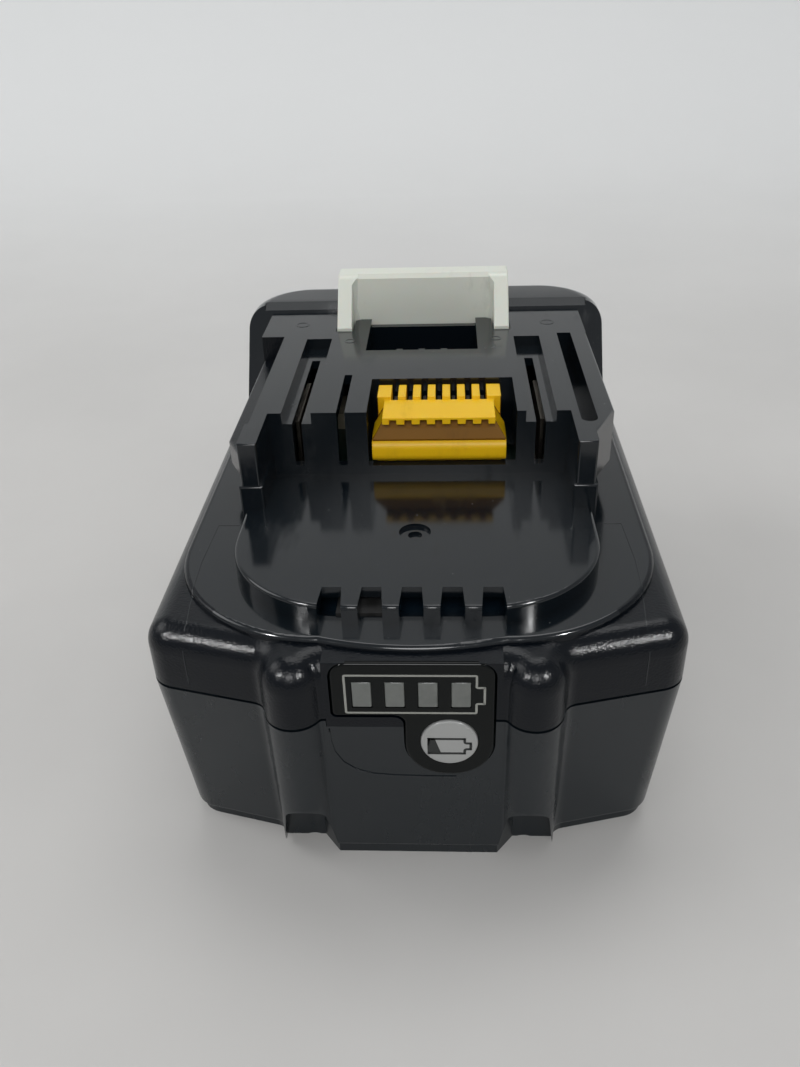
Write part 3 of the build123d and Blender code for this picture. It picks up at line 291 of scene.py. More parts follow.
@dataclass(frozen=True)
class Moulded(Finish):
    """Injection-moulded plastic with grain, flow marks, smudges, dust and rubbed edges."""

    colour: Colour
    roughness: float = 0.35
    grain_per_m: float = 5200.0
    grain_depth: float = 0.006
    coarse: float = 0.3
    tone: float = 0.25
    smudge: float = 0.12
    grime_and_shade: float = 0.0
    grime_and_shade_colour: Colour = (0.05, 0.045, 0.04)
    dust: float = 0.12
    dust_colour: Colour = (0.5, 0.5, 0.48)
    wear: float = 0.35
    wear_colour: Colour = (0.16, 0.16, 0.17)
    subsurface: float = 0.0
    specular: float = 0.5
    tone_per_m: float = 45.0
    patches: Layer = (70.0, 0.5)
    wear_per_m: float = 300.0
    dust_per_m: float = 900.0
    dust_roughness: float = 0.4
    subsurface_mm: float = 0.8

    def paint(self, graph: Graph) -> Paint:
        """Returns the shader's inputs."""
        colour = graph.scale(self.colour, graph.effect(Effect.TONE, self.tone_per_m, self.tone))
        smudge = graph.effect(Effect.SMUDGE, *self.patches)
        # Dark patches of dirt; in the connector neck's finish they also darken its painted shade.
        if self.grime_and_shade:
            colour = graph.blend(graph.math("MULTIPLY", smudge, self.grime_and_shade), colour, self.grime_and_shade_colour)
        rubbed = graph.effect(Effect.WEAR, self.wear_per_m, self.wear)
        colour = graph.blend(rubbed, colour, self.wear_colour)
        specks = graph.effect(Effect.DUST, self.dust_per_m, self.dust)
        rough = graph.grow(smudge, self.smudge, self.roughness)
        grain = graph.effect(Effect.GRAIN, self.grain_per_m, self.coarse)
        return {
            "Base Color": graph.blend(specks, colour, self.dust_colour),
            "Roughness": graph.grow(specks, self.dust_roughness, rough),
            "Normal": graph.relief(grain, self.grain_depth),
            "Specular IOR Level": self.specular,
            "Subsurface Weight": self.subsurface,
            "Subsurface Scale": self.subsurface_mm * MM,
        }


@dataclass(frozen=True)
class Strip(Finish):
    """Rolled or drawn metal with fine lines, tarnish and small scratches."""

    colour: Colour
    roughness: float = 0.28
    lines: Axes = (2700.0, 180.0, 2700.0)
    line_levels: Point = (0.3, 0.7)
    tarnish: float = 0.25
    patches: Layer = (120.0, 0.5)
    tarnish_shade: float = 0.45
    polish: Point = (0.7, 1.4)
    depth: float = 0.002

    def paint(self, graph: Graph) -> Paint:
        """Returns the shader's inputs."""
        lines = graph.noise(graph.place(1.0, self.lines), 3.0, 0.6)
        stain = graph.math("MULTIPLY", graph.effect(Effect.SMUDGE, *self.patches), self.tarnish)
        smooth, rough = (self.roughness * share for share in self.polish)
        return {
            "Base Color": graph.blend(stain, self.colour, shaded(self.colour, self.tarnish_shade)),
            "Roughness": graph.fade(lines, *self.line_levels, smooth, rough),
            "Normal": graph.relief(lines, self.depth),
            "Metallic": 1.0,
        }


@dataclass(frozen=True)
class SolderMask(Finish):
    """Circuit board: green mask over traces, with a weave in the glass."""

    colour: Colour = (0.004, 0.016, 0.01)
    trace_colour: Colour = (0.008, 0.03, 0.018)
    pitch_per_m: float = 420.0
    jitter: float = 0.7
    trace_fold: float = 0.12
    trace_edge: Point = (0.05, 0.07)
    weave_per_m: float = 9000.0
    weave_share: float = 0.1
    roughness: Point = (0.26, 0.4)
    depth: float = 0.03

    def paint(self, graph: Graph) -> Paint:
        """Returns the shader's inputs."""
        names = {"Vector": graph.place(self.pitch_per_m), "Scale": 1.0, "Randomness": self.jitter}
        cells = graph.add("ShaderNodeTexVoronoi", names, distance="CHEBYCHEV")
        folded = graph.math("PINGPONG", cells.outputs["Distance"], self.trace_fold)
        traces = graph.fade(folded, *self.trace_edge)
        warp, weft = (graph.math("SINE", graph.math("MULTIPLY", graph.axis(letter), self.weave_per_m))
                      for letter in "XY")
        weave = graph.math("MULTIPLY", warp, weft)
        return {
            "Base Color": graph.blend(traces, self.colour, self.trace_colour),
            "Roughness": graph.fade(weave, -1.0, 1.0, *self.roughness),
            "Normal": graph.relief(graph.grow(weave, self.weave_share, traces), self.depth),
        }


@dataclass(frozen=True)
class CellSleeve(Finish):
    """Shrink film round a cell, drawn over bare metal ends."""

    colour: Colour = (0.005, 0.012, 0.02)
    metal: Colour = (0.62, 0.62, 0.6)
    end_x: float = 32.0
    end_fade: float = 0.05
    crease_reach: float = 4.0
    crease_per_m: float = 220.0
    crease_stretch: Axes = (1, 6, 6)
    crease_depth: float = 0.12
    clouds: Layer = (60.0, 0.5)
    shades: Point = (0.8, 1.2)
    patches: Layer = (90.0, 0.4)
    roughness: Point = (0.22, 0.4)

    def paint(self, graph: Graph) -> Paint:
        """Returns the shader's inputs."""
        along = graph.math("ABSOLUTE", graph.axis("X"))
        bare = graph.fade(along, (self.end_x - self.end_fade) * MM, (self.end_x + self.end_fade) * MM)
        tone = graph.fade(graph.effect(Effect.TONE, *self.clouds), *self.shades)
        film = graph.blend(tone, *(shaded(self.colour, share) for share in self.shades))
        smudge = graph.effect(Effect.SMUDGE, *self.patches)
        creases = graph.noise(graph.place(self.crease_per_m, self.crease_stretch), 3.0)
        near_end = graph.fade(along, (self.end_x - self.crease_reach) * MM, self.end_x * MM)
        return {
            "Base Color": graph.blend(bare, film, self.metal),
            "Metallic": bare,
            "Roughness": graph.fade(smudge, 0.0, 1.0, *self.roughness),
            "Normal": graph.relief(graph.math("MULTIPLY", creases, near_end), self.crease_depth),
        }


@dataclass(frozen=True)
class Fibre(Finish):
    """Paper, foam or film: a fibrous or cellular surface."""

    colour: Colour
    roughness: float = 0.8
    cells_per_m: float = 1800.0
    depth: float = 0.03
    stretch: Axes = (1, 1, 1)
    shades: Point = (0.7, 1.15)
    smooth_share: float = 0.85

    def paint(self, graph: Graph) -> Paint:
        """Returns the shader's inputs."""
        fibres = graph.noise(graph.place(self.cells_per_m, self.stretch), 4.0, 0.7)
        dark, light = (shaded(self.colour, share) for share in self.shades)
        return {
            "Base Color": graph.blend(graph.fade(fibres, 0.3, 0.7), dark, light),
            "Roughness": graph.fade(fibres, 0.2, 0.8, self.roughness * self.smooth_share, self.roughness),
            "Normal": graph.relief(fibres, self.depth),
        }


@dataclass(frozen=True)
class LightPipe(Finish):
    """Smoked clear plastic with a frosted back."""

    colour: Colour = (0.13, 0.138, 0.13)
    roughness: float = 0.16
    haze: Layer = (500.0, 0.5)
    patches: Layer = (200.0, 0.5)
    smudge: float = 0.1
    grain: Layer = (2500.0, 0.2)
    depth: float = 0.003
    coat: float = 0.4

    def paint(self, graph: Graph) -> Paint:
        """Returns the shader's inputs."""
        smudge = graph.effect(Effect.SMUDGE, *self.patches)
        return {
            "Base Color": graph.scale(self.colour, graph.effect(Effect.TONE, *self.haze)),
            "Roughness": graph.grow(smudge, self.smudge, self.roughness),
            "Normal": graph.relief(graph.effect(Effect.GRAIN, *self.grain), self.depth),
            "Coat Weight": self.coat,
        }


@dataclass(frozen=True)
class Ink(Finish):
    """Screen-printed ink with a fine broken edge of pinholes."""

    colour: Colour
    roughness: float = 0.45
    grain: Layer = (6000.0, 0.4)
    hole_levels: Point = (0.25, 0.4)
    hole_shade: float = 0.6
    hole_roughness: float = 0.2
    depth: float = 0.01

    def paint(self, graph: Graph) -> Paint:
        """Returns the shader's inputs."""
        holes = graph.fade(graph.effect(Effect.GRAIN, *self.grain), *self.hole_levels)
        return {
            "Base Color": graph.blend(holes, shaded(self.colour, self.hole_shade), self.colour),
            "Roughness": graph.fade(holes, 0.0, 1.0, self.roughness + self.hole_roughness, self.roughness),
            "Normal": graph.relief(holes, self.depth),
        }


@dataclass(frozen=True)
class PaleFloor(Finish):
    """Pale table top with painted light: its colour grows lighter further from the camera."""

    colour: Colour = (0.57, 0.56, 0.545)
    painted_far_light_colour: Colour = (0.76, 0.77, 0.77)
    far_from: float = 0.0
    far_to: float = 0.7
    cloud_per_m: float = 9.0
    cloud_shade: float = 0.93
    roughness: float = 0.7

    def paint(self, graph: Graph) -> Paint:
        """Returns the shader's inputs."""
        cloud = graph.noise(graph.place(self.cloud_per_m), 4.0, 0.55)
        near = graph.blend(graph.fade(cloud, 0.3, 0.7), shaded(self.colour, self.cloud_shade), self.colour)
        # Painted light: the colour blends to a lighter tone towards the back.
        painted_light_share = graph.fade(graph.axis("Y"), self.far_from, self.far_to)
        return {"Base Color": graph.blend(painted_light_share, near, self.painted_far_light_colour), "Roughness": self.roughness}


TUB = Moulded("tub_plastic", (0.005, 0.0085, 0.0115), 0.24, grain_depth=0.004, dust=0.06,
              dust_colour=(0.2, 0.2, 0.2))
SHELL_SPARK = Moulded("shell_spark", (0.001, 0.0025, 0.005), 0.19, 5000.0, 0.05, 0.5, smudge=0.05, dust=0.06,
                      dust_colour=(0.2, 0.2, 0.2), specular=0.25)
SHELL_GLOSS = Moulded("shell_gloss", (0.0035, 0.006, 0.0085), 0.12, 4000.0, 0.0008, smudge=0.16, dust=0.16,
                      dust_colour=(0.22, 0.22, 0.22))
FASCIA = Moulded("fascia_gloss", (0.0015, 0.0025, 0.0025), 0.1, 3000.0, 0.0006, smudge=0.06, dust=0.1,
                 wear=0.1, specular=0.2)
BUTTON_FACE = Moulded("button_silver", (0.33, 0.335, 0.33), 0.32, 4000.0, 0.004, tone=0.15, dust=0.05,
                      wear=0.2, wear_colour=(0.5, 0.5, 0.5))
LATCH_RESIN = Moulded("latch_nylon", (0.7, 0.72, 0.645), 0.36, 3500.0, 0.008, tone=0.12, grime_and_shade=0.35,
                      grime_and_shade_colour=(0.25, 0.25, 0.22), dust_colour=(0.1, 0.09, 0.08), wear=0.5,
                      wear_colour=(0.42, 0.43, 0.38), subsurface=0.15)
THUMB_PLASTIC = Moulded("thumb_plastic", (0.012, 0.0125, 0.014), 0.38, 4200.0, 0.02, 0.5)
CONNECTOR_RESIN = Moulded("connector_yellow", (0.82, 0.49, 0.0025), 0.36, 3500.0, 0.006, tone=0.15,
                          grime_and_shade=0.25, grime_and_shade_colour=(0.35, 0.16, 0.0), dust=0.08, dust_colour=(0.3, 0.2, 0.05),
                          wear=0.3, wear_colour=(0.9, 0.55, 0.02), subsurface=0.1, specular=0.3)
# Painted shade: the neck's darker brown and its dark patches stand in for the shadow under the connector's
# overhanging bar.
CONNECTOR_NECK_SHADE = Moulded("connector_neck_painted_shade", (0.2, 0.085, 0.001), 0.5, 3500.0, 0.006, tone=0.4, grime_and_shade=0.4,
                         grime_and_shade_colour=(0.05, 0.02, 0.0), dust=0.08, dust_colour=(0.3, 0.2, 0.05), wear=0.0,
                         specular=0.2)
HOLDER_RESIN = Moulded("holder_resin", (0.012, 0.012, 0.013), 0.45, 3500.0, 0.012)
FUSE_BODY = Moulded("fuse_ceramic", (0.52, 0.48, 0.36), 0.4, 3000.0, 0.01, wear_colour=(0.6, 0.56, 0.45))
BEAD_RESIN = Moulded("bead_epoxy", (0.012, 0.012, 0.012), 0.2, 1500.0, 0.02)
LAMP_RESIN = Moulded("lamp_resin", (0.6, 0.62, 0.5), 0.15, 2000.0, 0.003, wear_colour=(0.7, 0.7, 0.65))
NICKEL = Strip("nickel_strip", (0.6, 0.585, 0.55))
SPRING_WIRE = Strip("spring_wire", (0.55, 0.55, 0.56), 0.25)
CONTACT = Strip("contact_plating", (0.1, 0.09, 0.075), 0.4)
SWITCH_METAL = Strip("switch_metal", (0.5, 0.5, 0.51), 0.3)
BLACK_STEEL = Strip("blackened_steel", (0.09, 0.09, 0.095), 0.32)
BOARD_MASK = SolderMask("board_mask")
SLEEVE = CellSleeve("cell_sleeve")
PAPER = Fibre("fibre_paper", (0.6, 0.58, 0.48))
FOAM = Fibre("closed_foam", (0.02, 0.02, 0.021), 0.9, 1500.0, 0.12)
RIBBON = Fibre("ribbon_film", (0.006, 0.006, 0.006), 0.75, 900.0, 0.01, (0.3, 0.3, 8.0))
PIPE = LightPipe("light_pipe")
PALE_INK = Ink("pale_ink", (0.28, 0.285, 0.26))
DARK_INK = Ink("dark_ink", (0.012, 0.014, 0.014))
FLOOR = PaleFloor("pale_floor")


def lay_mesh(name: str, bm: bmesh.types.BMesh, smooth_degrees: float = 32.0) -> bpy.types.Object:
    """Turns a bmesh into a linked object with smooth faces and sharp creases.

    Args:
        name: The object's name.
        bm: The bmesh, which is freed.
        smooth_degrees: Edges sharper than this stay creased.

    Returns:
        The object, at the origin.
    """
    mesh = bpy.data.meshes.new(name)
    bm.to_mesh(mesh)
    bm.free()
    mesh.shade_smooth()
    mesh.set_sharp_from_angle(angle=math.radians(smooth_degrees))
    made = bpy.data.objects.new(name, mesh)
    bpy.context.scene.collection.objects.link(made)
    made.modifiers.new("even_shading", "WEIGHTED_NORMAL").keep_sharp = True
    return made


def add_piece(name: str, bm: bmesh.types.BMesh, finish: Finish, body: Body = Body.PACK,
              stands_for: Iterable[str] = ()) -> bpy.types.Object:
    """Adds one dressed piece that rides on a body.

    Args:
        name: The piece's name.
        bm: Its bmesh, in metres in the shared frame.
        finish: Its finish.
        body: The body that it rides on.
        stands_for: CAD nodes that it replaces.

    Returns:
        The piece.
    """
    piece = lay_mesh(name, bm)
    piece.data.materials.append(finish.material())
    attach(piece, body.value)
    if stands_for:
        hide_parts(*stands_for)
    log.info("%s: %d faces on %s", name, len(piece.data.polygons), body.value)
    return piece


def dress_nodes(finish: Finish, names: Iterable[str]) -> None:
    """Gives CAD nodes that keep their shape a finish."""
    for name in names:
        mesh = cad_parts[name].data
        mesh.materials.clear()
        mesh.materials.append(finish.material())
        log.info("%s: dressed as %s", name, finish.name)


def merged_copy(node: str) -> bmesh.types.BMesh:
    """Copies a CAD node's mesh into a bmesh, its loose triangles merged into whole faces."""
    bm = bmesh.new()
    bm.from_mesh(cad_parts[node].data)
    bmesh.ops.remove_doubles(bm, verts=bm.verts[:], dist=NODE_WELD)
    bmesh.ops.dissolve_limit(bm, angle_limit=math.radians(0.3), use_dissolve_boundaries=False,
                             verts=bm.verts[:], edges=bm.edges[:])
    return bm


def soften(bm: bmesh.types.BMesh, width: float, degrees: float = 35.0, segments: int = 2,
           chosen: Callable[[bmesh.types.BMEdge], bool] | None = None) -> None:
    """Rounds the sharp edges of a bmesh and marks the new faces as worn.

    Args:
        bm: The bmesh.
        width: Width of the rounding in millimetres.
        degrees: Least angle of an edge that is rounded.
        segments: Faces across the rounding.
        chosen: Says which of the sharp edges are rounded.
    """
    worn = bm.faces.layers.float.get("worn") or bm.faces.layers.float.new("worn")
    edges = [e for e in bm.edges if len(e.link_faces) == 2 and e.calc_face_angle(0.0) > math.radians(degrees)]
    edges = [e for e in edges if chosen is None or chosen(e)]
    made = bmesh.ops.bevel(bm, geom=edges, offset=width * MM, offset_type="OFFSET", segments=segments,
                           profile=0.5, affect="EDGES", clamp_overlap=True, material=-1)
    for face in made["faces"]:
        face[worn] = 1.0


def turned(bm: bmesh.types.BMesh, profile: Iterable[Point], centre: Vector, axis: Vector,
           steps: int = 28) -> None:
    """Spins a profile of (radius, height) points round an axis.

    Args:
        bm: The bmesh.
        profile: Points in millimetres from the axis outwards and along it.
        centre: Where the axis starts, in millimetres.
        axis: Its direction.
        steps: Faces round the axis.
    """
    along = axis.normalized()
    side = along.orthogonal().normalized()
    start = centre * MM
    verts = [bm.verts.new(start + side * r * MM + along * h * MM) for r, h in profile]
    edges = [bm.edges.new(pair) for pair in zip(verts, verts[1:])]
    bmesh.ops.spin(bm, geom=verts + edges, cent=start, axis=along, angle=math.tau, steps=steps,
                   use_merge=True, use_duplicate=False)


def rounded_corner(corners: list[Point], index: int, radius: float, steps: int = 5) -> list[Point]:
    """Points along the rounding of one corner of an outline.

    Args:
        corners: Corners of the closed outline, in millimetres.
        index: Which corner.
        radius: Its radius.
        steps: Faces along the rounding.

    Returns:
        The points, in order.
    """
    here = Vector(corners[index])
    to_last = (Vector(corners[index - 1]) - here).normalized()
    to_next = (Vector(corners[(index + 1) % len(corners)]) - here).normalized()
    reach = radius / math.tan(to_last.angle(to_next) / 2)
    start, end = here + to_last * reach, here + to_next * reach
    points = []
    for step in range(steps + 1):
        t = step / steps
        points.append(tuple(start.lerp(here, t).lerp(here.lerp(end, t), t)))
    return points


def ring(bm: bmesh.types.BMesh, corners: list[Point], radii: Sequence[float], width: float,
         matrix: Matrix) -> list[bmesh.types.BMFace]:
    """Adds a flat closed line along an outline with rounded corners.

    Args:
        bm: The bmesh.
        corners: Corners of the outline in millimetres, in a plane.
        radii: Radius at each corner.
        width: Width of the line, inwards.
        matrix: Places the plane in the shared frame.

    Returns:
        The line's faces.
    """
    points = [p for i in range(len(corners)) for p in rounded_corner(corners, i, radii[i])]
    verts = [bm.verts.new(matrix @ Vector((x * MM, y * MM, 0.0))) for x, y in points]
    face = bm.faces.new(verts)
    face.normal_update()
    made = bmesh.ops.inset_region(bm, faces=[face], thickness=width * MM, use_even_offset=True,
                                  use_boundary=True)
    bmesh.ops.delete(bm, geom=[face], context="FACES_ONLY")
    return made["faces"]


def search_tree(node: str) -> BVHTree:
    """Builds a search tree of a CAD node's faces."""
    bm = bmesh.new()
    bm.from_mesh(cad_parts[node].data)
    tree = BVHTree.FromBMesh(bm)
    bm.free()
    return tree


def cast(tree: BVHTree, start: Vector, direction: Vector) -> tuple[Vector, Vector]:
    """Follows a ray to a surface.

    Args:
        tree: The search tree of the surface.
        start: Where the ray starts, in millimetres.
        direction: Where it goes.

    Returns:
        The point that it meets, in millimetres, and the surface's normal there.
    """
    spot, normal, _, _ = tree.ray_cast(start * MM, direction)
    if normal.dot(direction) > 0:
        normal = -normal
    return spot / MM, normal


def spaced(corners: list[Point], step: float) -> list[Point]:
    """Points along an open outline, no further apart than a step."""
    points = []
    for first, last in zip(corners, corners[1:]):
        count = max(1, math.ceil(math.dist(first, last) / step))
        points += [tuple(Vector(first).lerp(Vector(last), i / count)) for i in range(count)]
    return points + [corners[-1]]


def halves(low: float, high: float) -> list[float]:
    """Values half a millimetre apart, from one to another."""
    return [n / 2 for n in range(round(low * 2), round(high * 2) + 1)]


def bead(bm: bmesh.types.BMesh, points: list[tuple[Vector, Vector]], width: float, height: float,
         sink: float = 0.08) -> None:
    """Lays a low rounded ridge along points of a surface.

    Args:
        bm: The bmesh.
        points: Points and normals along the ridge, in millimetres.
        width: Width of its foot.
        height: How far it stands out.
        sink: How far its foot reaches below the surface.
    """
    half = [(1.0, -sink), (0.75, height * 0.8), (0.4, height)]
    section = [(-across, out) for across, out in half] + half[::-1]
    rows = []
    for index, (spot, normal) in enumerate(points):
        along = points[min(index + 1, len(points) - 1)][0] - points[max(index - 1, 0)][0]
        side = along.cross(normal).normalized() * width / 2
        rows.append([bm.verts.new((spot + side * across + normal * out) * MM) for across, out in section])
    for first, last in zip(rows, rows[1:]):
        for i in range(len(first)):
            j = (i + 1) % len(first)
            bm.faces.new((first[i], first[j], last[j], last[i]))
    bm.faces.new(rows[0])
    bm.faces.new(rows[-1])
    bmesh.ops.recalc_face_normals(bm, faces=bm.faces[:])


def thicken(bm: bmesh.types.BMesh, faces: list[bmesh.types.BMFace], offset: Vector) -> None:
    """Gives flat faces a thickness by an extrusion along an offset."""
    made = bmesh.ops.extrude_face_region(bm, geom=faces, use_keep_orig=True)
    verts = [g for g in made["geom"] if isinstance(g, bmesh.types.BMVert)]
    bmesh.ops.translate(bm, verts=verts, vec=offset)
    bmesh.ops.recalc_face_normals(bm, faces=bm.faces[:])


@dataclass
class Shells:
    """The two halves of the case, the gap between them and small mould marks."""

    seam_z: float = 30.3
    gap: float = 0.45
    edge_width: float = 0.16
    spark_top: float = 40.75
    line_width: float = 0.22
    line_height: float = 0.05
    deck_z: float = 55.9
    wing_side: float = 28.6
    wing_end_y: float = 30.0
    wing_top_margin: float = 0.4
    ray_reach: float = 90.0
    witness_path: tuple[Point, ...] = ((29.5, -21.2), (33.0, -21.2), (33.4, -32.0), (33.0, -42.0),
                                       (32.6, -45.5), (32.6, -47.5))
    witness_step: float = 0.8
    witness_x: float = 32.8
    witness_low: float = 31.5
    witness_high: float = 37.5
    rim_path: tuple[Point, ...] = ((-11.9, 29.3), (-11.9, 26.0), (-11.5, 23.6), (-10.4, 21.4), (-8.6, 19.8),
                                   (-6.2, 18.9), (-3.0, 18.55), (2.0, 18.4), (6.0, 18.4))
    rim_step: float = 0.6
    rim_width: float = 0.3
    rim_height: float = 0.14
    strip_left: float = -11.5
    strip_right: float = -2.5
    strip_z: float = 28.95
    strip_width: float = 1.6
    strip_height: float = 0.22
    ejectors: tuple[Axes, ...] = ((-25.0, 34.7, 1.5), (25.3, 34.1, 1.5), (-14.3, 24.8, 1.2),
                                  (14.5, 25.2, 1.2))
    ejector_section: tuple[Point, ...] = ((0.0, -0.05), (0.1, 0.07), (0.35, 0.07), (0.45, -0.05))

    def build(self) -> None:
        """Builds both halves and what is moulded on them."""
        bm = merged_copy("lower_case")
        rim = [v for v in bm.verts if abs(v.co.z - self.seam_z * MM) < 10 * TOUCH]
        bmesh.ops.translate(bm, verts=rim, vec=(0, 0, -self.gap * MM))
        soften(bm, self.edge_width)
        add_piece("tub_shell", bm, TUB, stands_for=["lower_case"])
        bm = merged_copy("upper_case")
        soften(bm, self.edge_width)
        whole = bm.verts[:] + bm.edges[:] + bm.faces[:]
        bmesh.ops.bisect_plane(bm, geom=whole, dist=TOUCH, plane_co=UP * self.spark_top * MM, plane_no=UP)
        for face in bm.faces:
            face.material_index = int(self.is_gloss(face.calc_center_median() / MM))
        shell = add_piece("top_shell", bm, SHELL_SPARK, stands_for=["upper_case"])
        shell.data.materials.append(SHELL_GLOSS.material())
        self.witness_lines()
        self.gauge_surround()
        self.ejector_marks()

    def is_gloss(self, spot: Vector) -> bool:
        """Says whether a face at a place is polished: above the shoulder, but not on a wing's outer end."""
        below_deck = spot.z < self.deck_z - self.wing_top_margin
        on_wing_end = abs(spot.x) > self.wing_side and below_deck and spot.y < self.wing_end_y
        return spot.z > self.spark_top and not on_wing_end

    def from_above(self, skin: BVHTree, x: float, y: float) -> tuple[Vector, Vector]:
        """Point and normal of a surface as seen from above."""
        return cast(skin, Vector((x, y, self.ray_reach)), -UP)

    def from_front(self, skin: BVHTree, x: float, z: float) -> tuple[Vector, Vector]:
        """Point and normal of a surface as seen from the front."""
        return cast(skin, Vector((x, -self.ray_reach, z)), INTO_FRONT)

    def witness_lines(self) -> None:
        """Lays the fine lines that the halves of the mould leave on the plateau and the shoulder."""
        skin = search_tree("upper_case")
        bm = bmesh.new()
        for side in (1, -1):
            path = spaced([(side * x, y) for x, y in self.witness_path], self.witness_step)
            down = halves(self.witness_low, self.witness_high)
            for points in ([self.from_above(skin, x, y) for x, y in path],
                           [self.from_front(skin, side * self.witness_x, z) for z in down]):
                bead(bm, points, self.line_width, self.line_height)
        add_piece("mould_witness_lines", bm, SHELL_GLOSS)

    def gauge_surround(self) -> None:
        """Builds the rim of the shallow pad under the gauge and the rough strip along its top."""
        skin = search_tree("lower_case")
        bm = bmesh.new()
        points = [self.from_front(skin, x, z) for x, z in spaced(list(self.rim_path), self.rim_step)]
        bead(bm, points, self.rim_width, self.rim_height)
        add_piece("gauge_pad_rim", bm, TUB)
        bm = bmesh.new()
        points = [self.from_front(skin, x, self.strip_z) for x in halves(self.strip_left, self.strip_right)]
        bead(bm, points, self.strip_width, self.strip_height)
        add_piece("gauge_rough_strip", bm, SHELL_SPARK)

    def ejector_marks(self) -> None:
        """Adds the round marks of the ejector pins on the rear block."""
        skin = search_tree("upper_case")
        bm = bmesh.new()
        for x, y, radius in self.ejectors:
            spot, _ = self.from_above(skin, x, y)
            turned(bm, [(radius - inset, out) for inset, out in self.ejector_section], spot, UP)
        bmesh.ops.recalc_face_normals(bm, faces=bm.faces[:])
        add_piece("ejector_marks", bm, SHELL_GLOSS)


@dataclass
class GaugeFace:
    """Gloss fascia with its light pipes, printed frame and check button."""

    face_y: float = -55.2
    print_proud: float = 0.02
    frame_left: float = -9.45
    frame_right: float = 8.9
    frame_low: float = 31.3
    frame_high: float = 38.3
    nub_reach: float = 1.1
    nub_low: float = 33.0
    nub_high: float = 36.2
    line: float = 0.32
    button_x: float = 5.0
    button_z: float = 26.1
    button_proud: float = 0.35
    mark_half_width: float = 3.1
    mark_right: float = 2.35
    mark_nub: float = 0.85
    mark_drop: float = 2.15
    mark_rise: float = 1.0
    mark_nub_half: float = 0.75
    mark_corner: float = 0.15
    mark_line: float = 0.38
    fill_low: float = 2.0
    fill_high: float = 1.0
    frame_corner: float = 0.4
    nub_corner: float = 0.15
    inner_corner: float = 0.05
    rim_width: float = 0.75
    hole_edge: float = 0.12
    pipe_edge: float = 0.25
    button_edge: float = 0.1
    face_slack: float = 0.02
    window_reach: float = 8.9
    window_low: float = 32.0
    window_high: float = 37.3
    button_reach: float = 4.9

    def build(self) -> None:
        """Builds the fascia and all on its face."""
        bm = merged_copy("gauge_panel")
        soften(bm, self.rim_width, segments=4, chosen=self.on_outline)
        soften(bm, self.hole_edge, chosen=lambda edge: not self.on_outline(edge))
        add_piece("gauge_fascia", bm, FASCIA, stands_for=["gauge_panel"])
        bm = merged_copy("gauge_windows")
        soften(bm, self.pipe_edge, segments=3)
        add_piece("gauge_light_pipes", bm, PIPE, stands_for=["gauge_windows"])
        bm = merged_copy("gauge_button")
        soften(bm, self.button_edge)
        add_piece("check_button", bm, BUTTON_FACE, Body.GAUGE_KEY, ["gauge_button"])
        self.printed_frame()
        self.button_print()

    def on_outline(self, edge: bmesh.types.BMEdge) -> bool:
        """Says whether an edge bounds the fascia's face, and not one of the holes in it."""
        def outside(vert: bmesh.types.BMVert) -> bool:
            """Says whether a vertex is on the face and clear of the holes."""
            x, y, z = vert.co / MM
            in_window = abs(x) < self.window_reach and self.window_low < z < self.window_high
            in_button = math.hypot(x - self.button_x, z - self.button_z) < self.button_reach
            return abs(y - self.face_y) < self.face_slack and not in_window and not in_button

        return all(outside(vert) for vert in edge.verts)

    def plane(self, y: float) -> Matrix:
        """Upright plane that looks out of the gauge face, at a depth in millimetres."""
        return Matrix.Translation((0.0, y * MM, 0.0)) @ Matrix.Rotation(math.radians(90), 4, "X")

    def raise_print(self, bm: bmesh.types.BMesh, faces: list[bmesh.types.BMFace]) -> None:
        """Gives printed faces their thickness."""
        thicken(bm, faces, -INTO_FRONT * self.print_proud * MM)

    def printed_frame(self) -> None:
        """Prints the outline of a cell with its nub round the four light pipes."""
        bm = bmesh.new()
        right, nub = self.frame_right, self.frame_right + self.nub_reach
        corners = [(self.frame_left, self.frame_low), (right, self.frame_low), (right, self.nub_low),
                   (nub, self.nub_low), (nub, self.nub_high), (right, self.nub_high),
                   (right, self.frame_high), (self.frame_left, self.frame_high)]
        half = [self.frame_corner, self.frame_corner, self.inner_corner, self.nub_corner]
        self.raise_print(bm, ring(bm, corners, half + half[::-1], self.line, self.plane(self.face_y)))
        add_piece("gauge_frame_print", bm, PALE_INK)

    def button_print(self) -> None:
        """Prints a small cell outline with a part-filled body on the check button."""
        bm = bmesh.new()
        plane = self.plane(self.face_y - self.button_proud)
        x, z = self.button_x, self.button_z
        left, right = x - self.mark_half_width, x + self.mark_right
        low, high = z - self.mark_drop, z + self.mark_rise
        nub, middle = right + self.mark_nub, (low + high) / 2
        nub_low, nub_high = middle - self.mark_nub_half, middle + self.mark_nub_half
        corners = [(left, low), (right, low), (right, nub_low), (nub, nub_low),
                   (nub, nub_high), (right, nub_high), (right, high), (left, high)]
        self.raise_print(bm, ring(bm, corners, [self.mark_corner] * len(corners), self.mark_line, plane))
        fill = ((left, low), (left + self.fill_low, low), (left + self.fill_high, high), (left, high))
        verts = [bm.verts.new(plane @ Vector((px * MM, pz * MM, 0))) for px, pz in fill]
        self.raise_print(bm, [bm.faces.new(verts)])
        add_piece("check_button_print", bm, DARK_INK, Body.GAUGE_KEY)


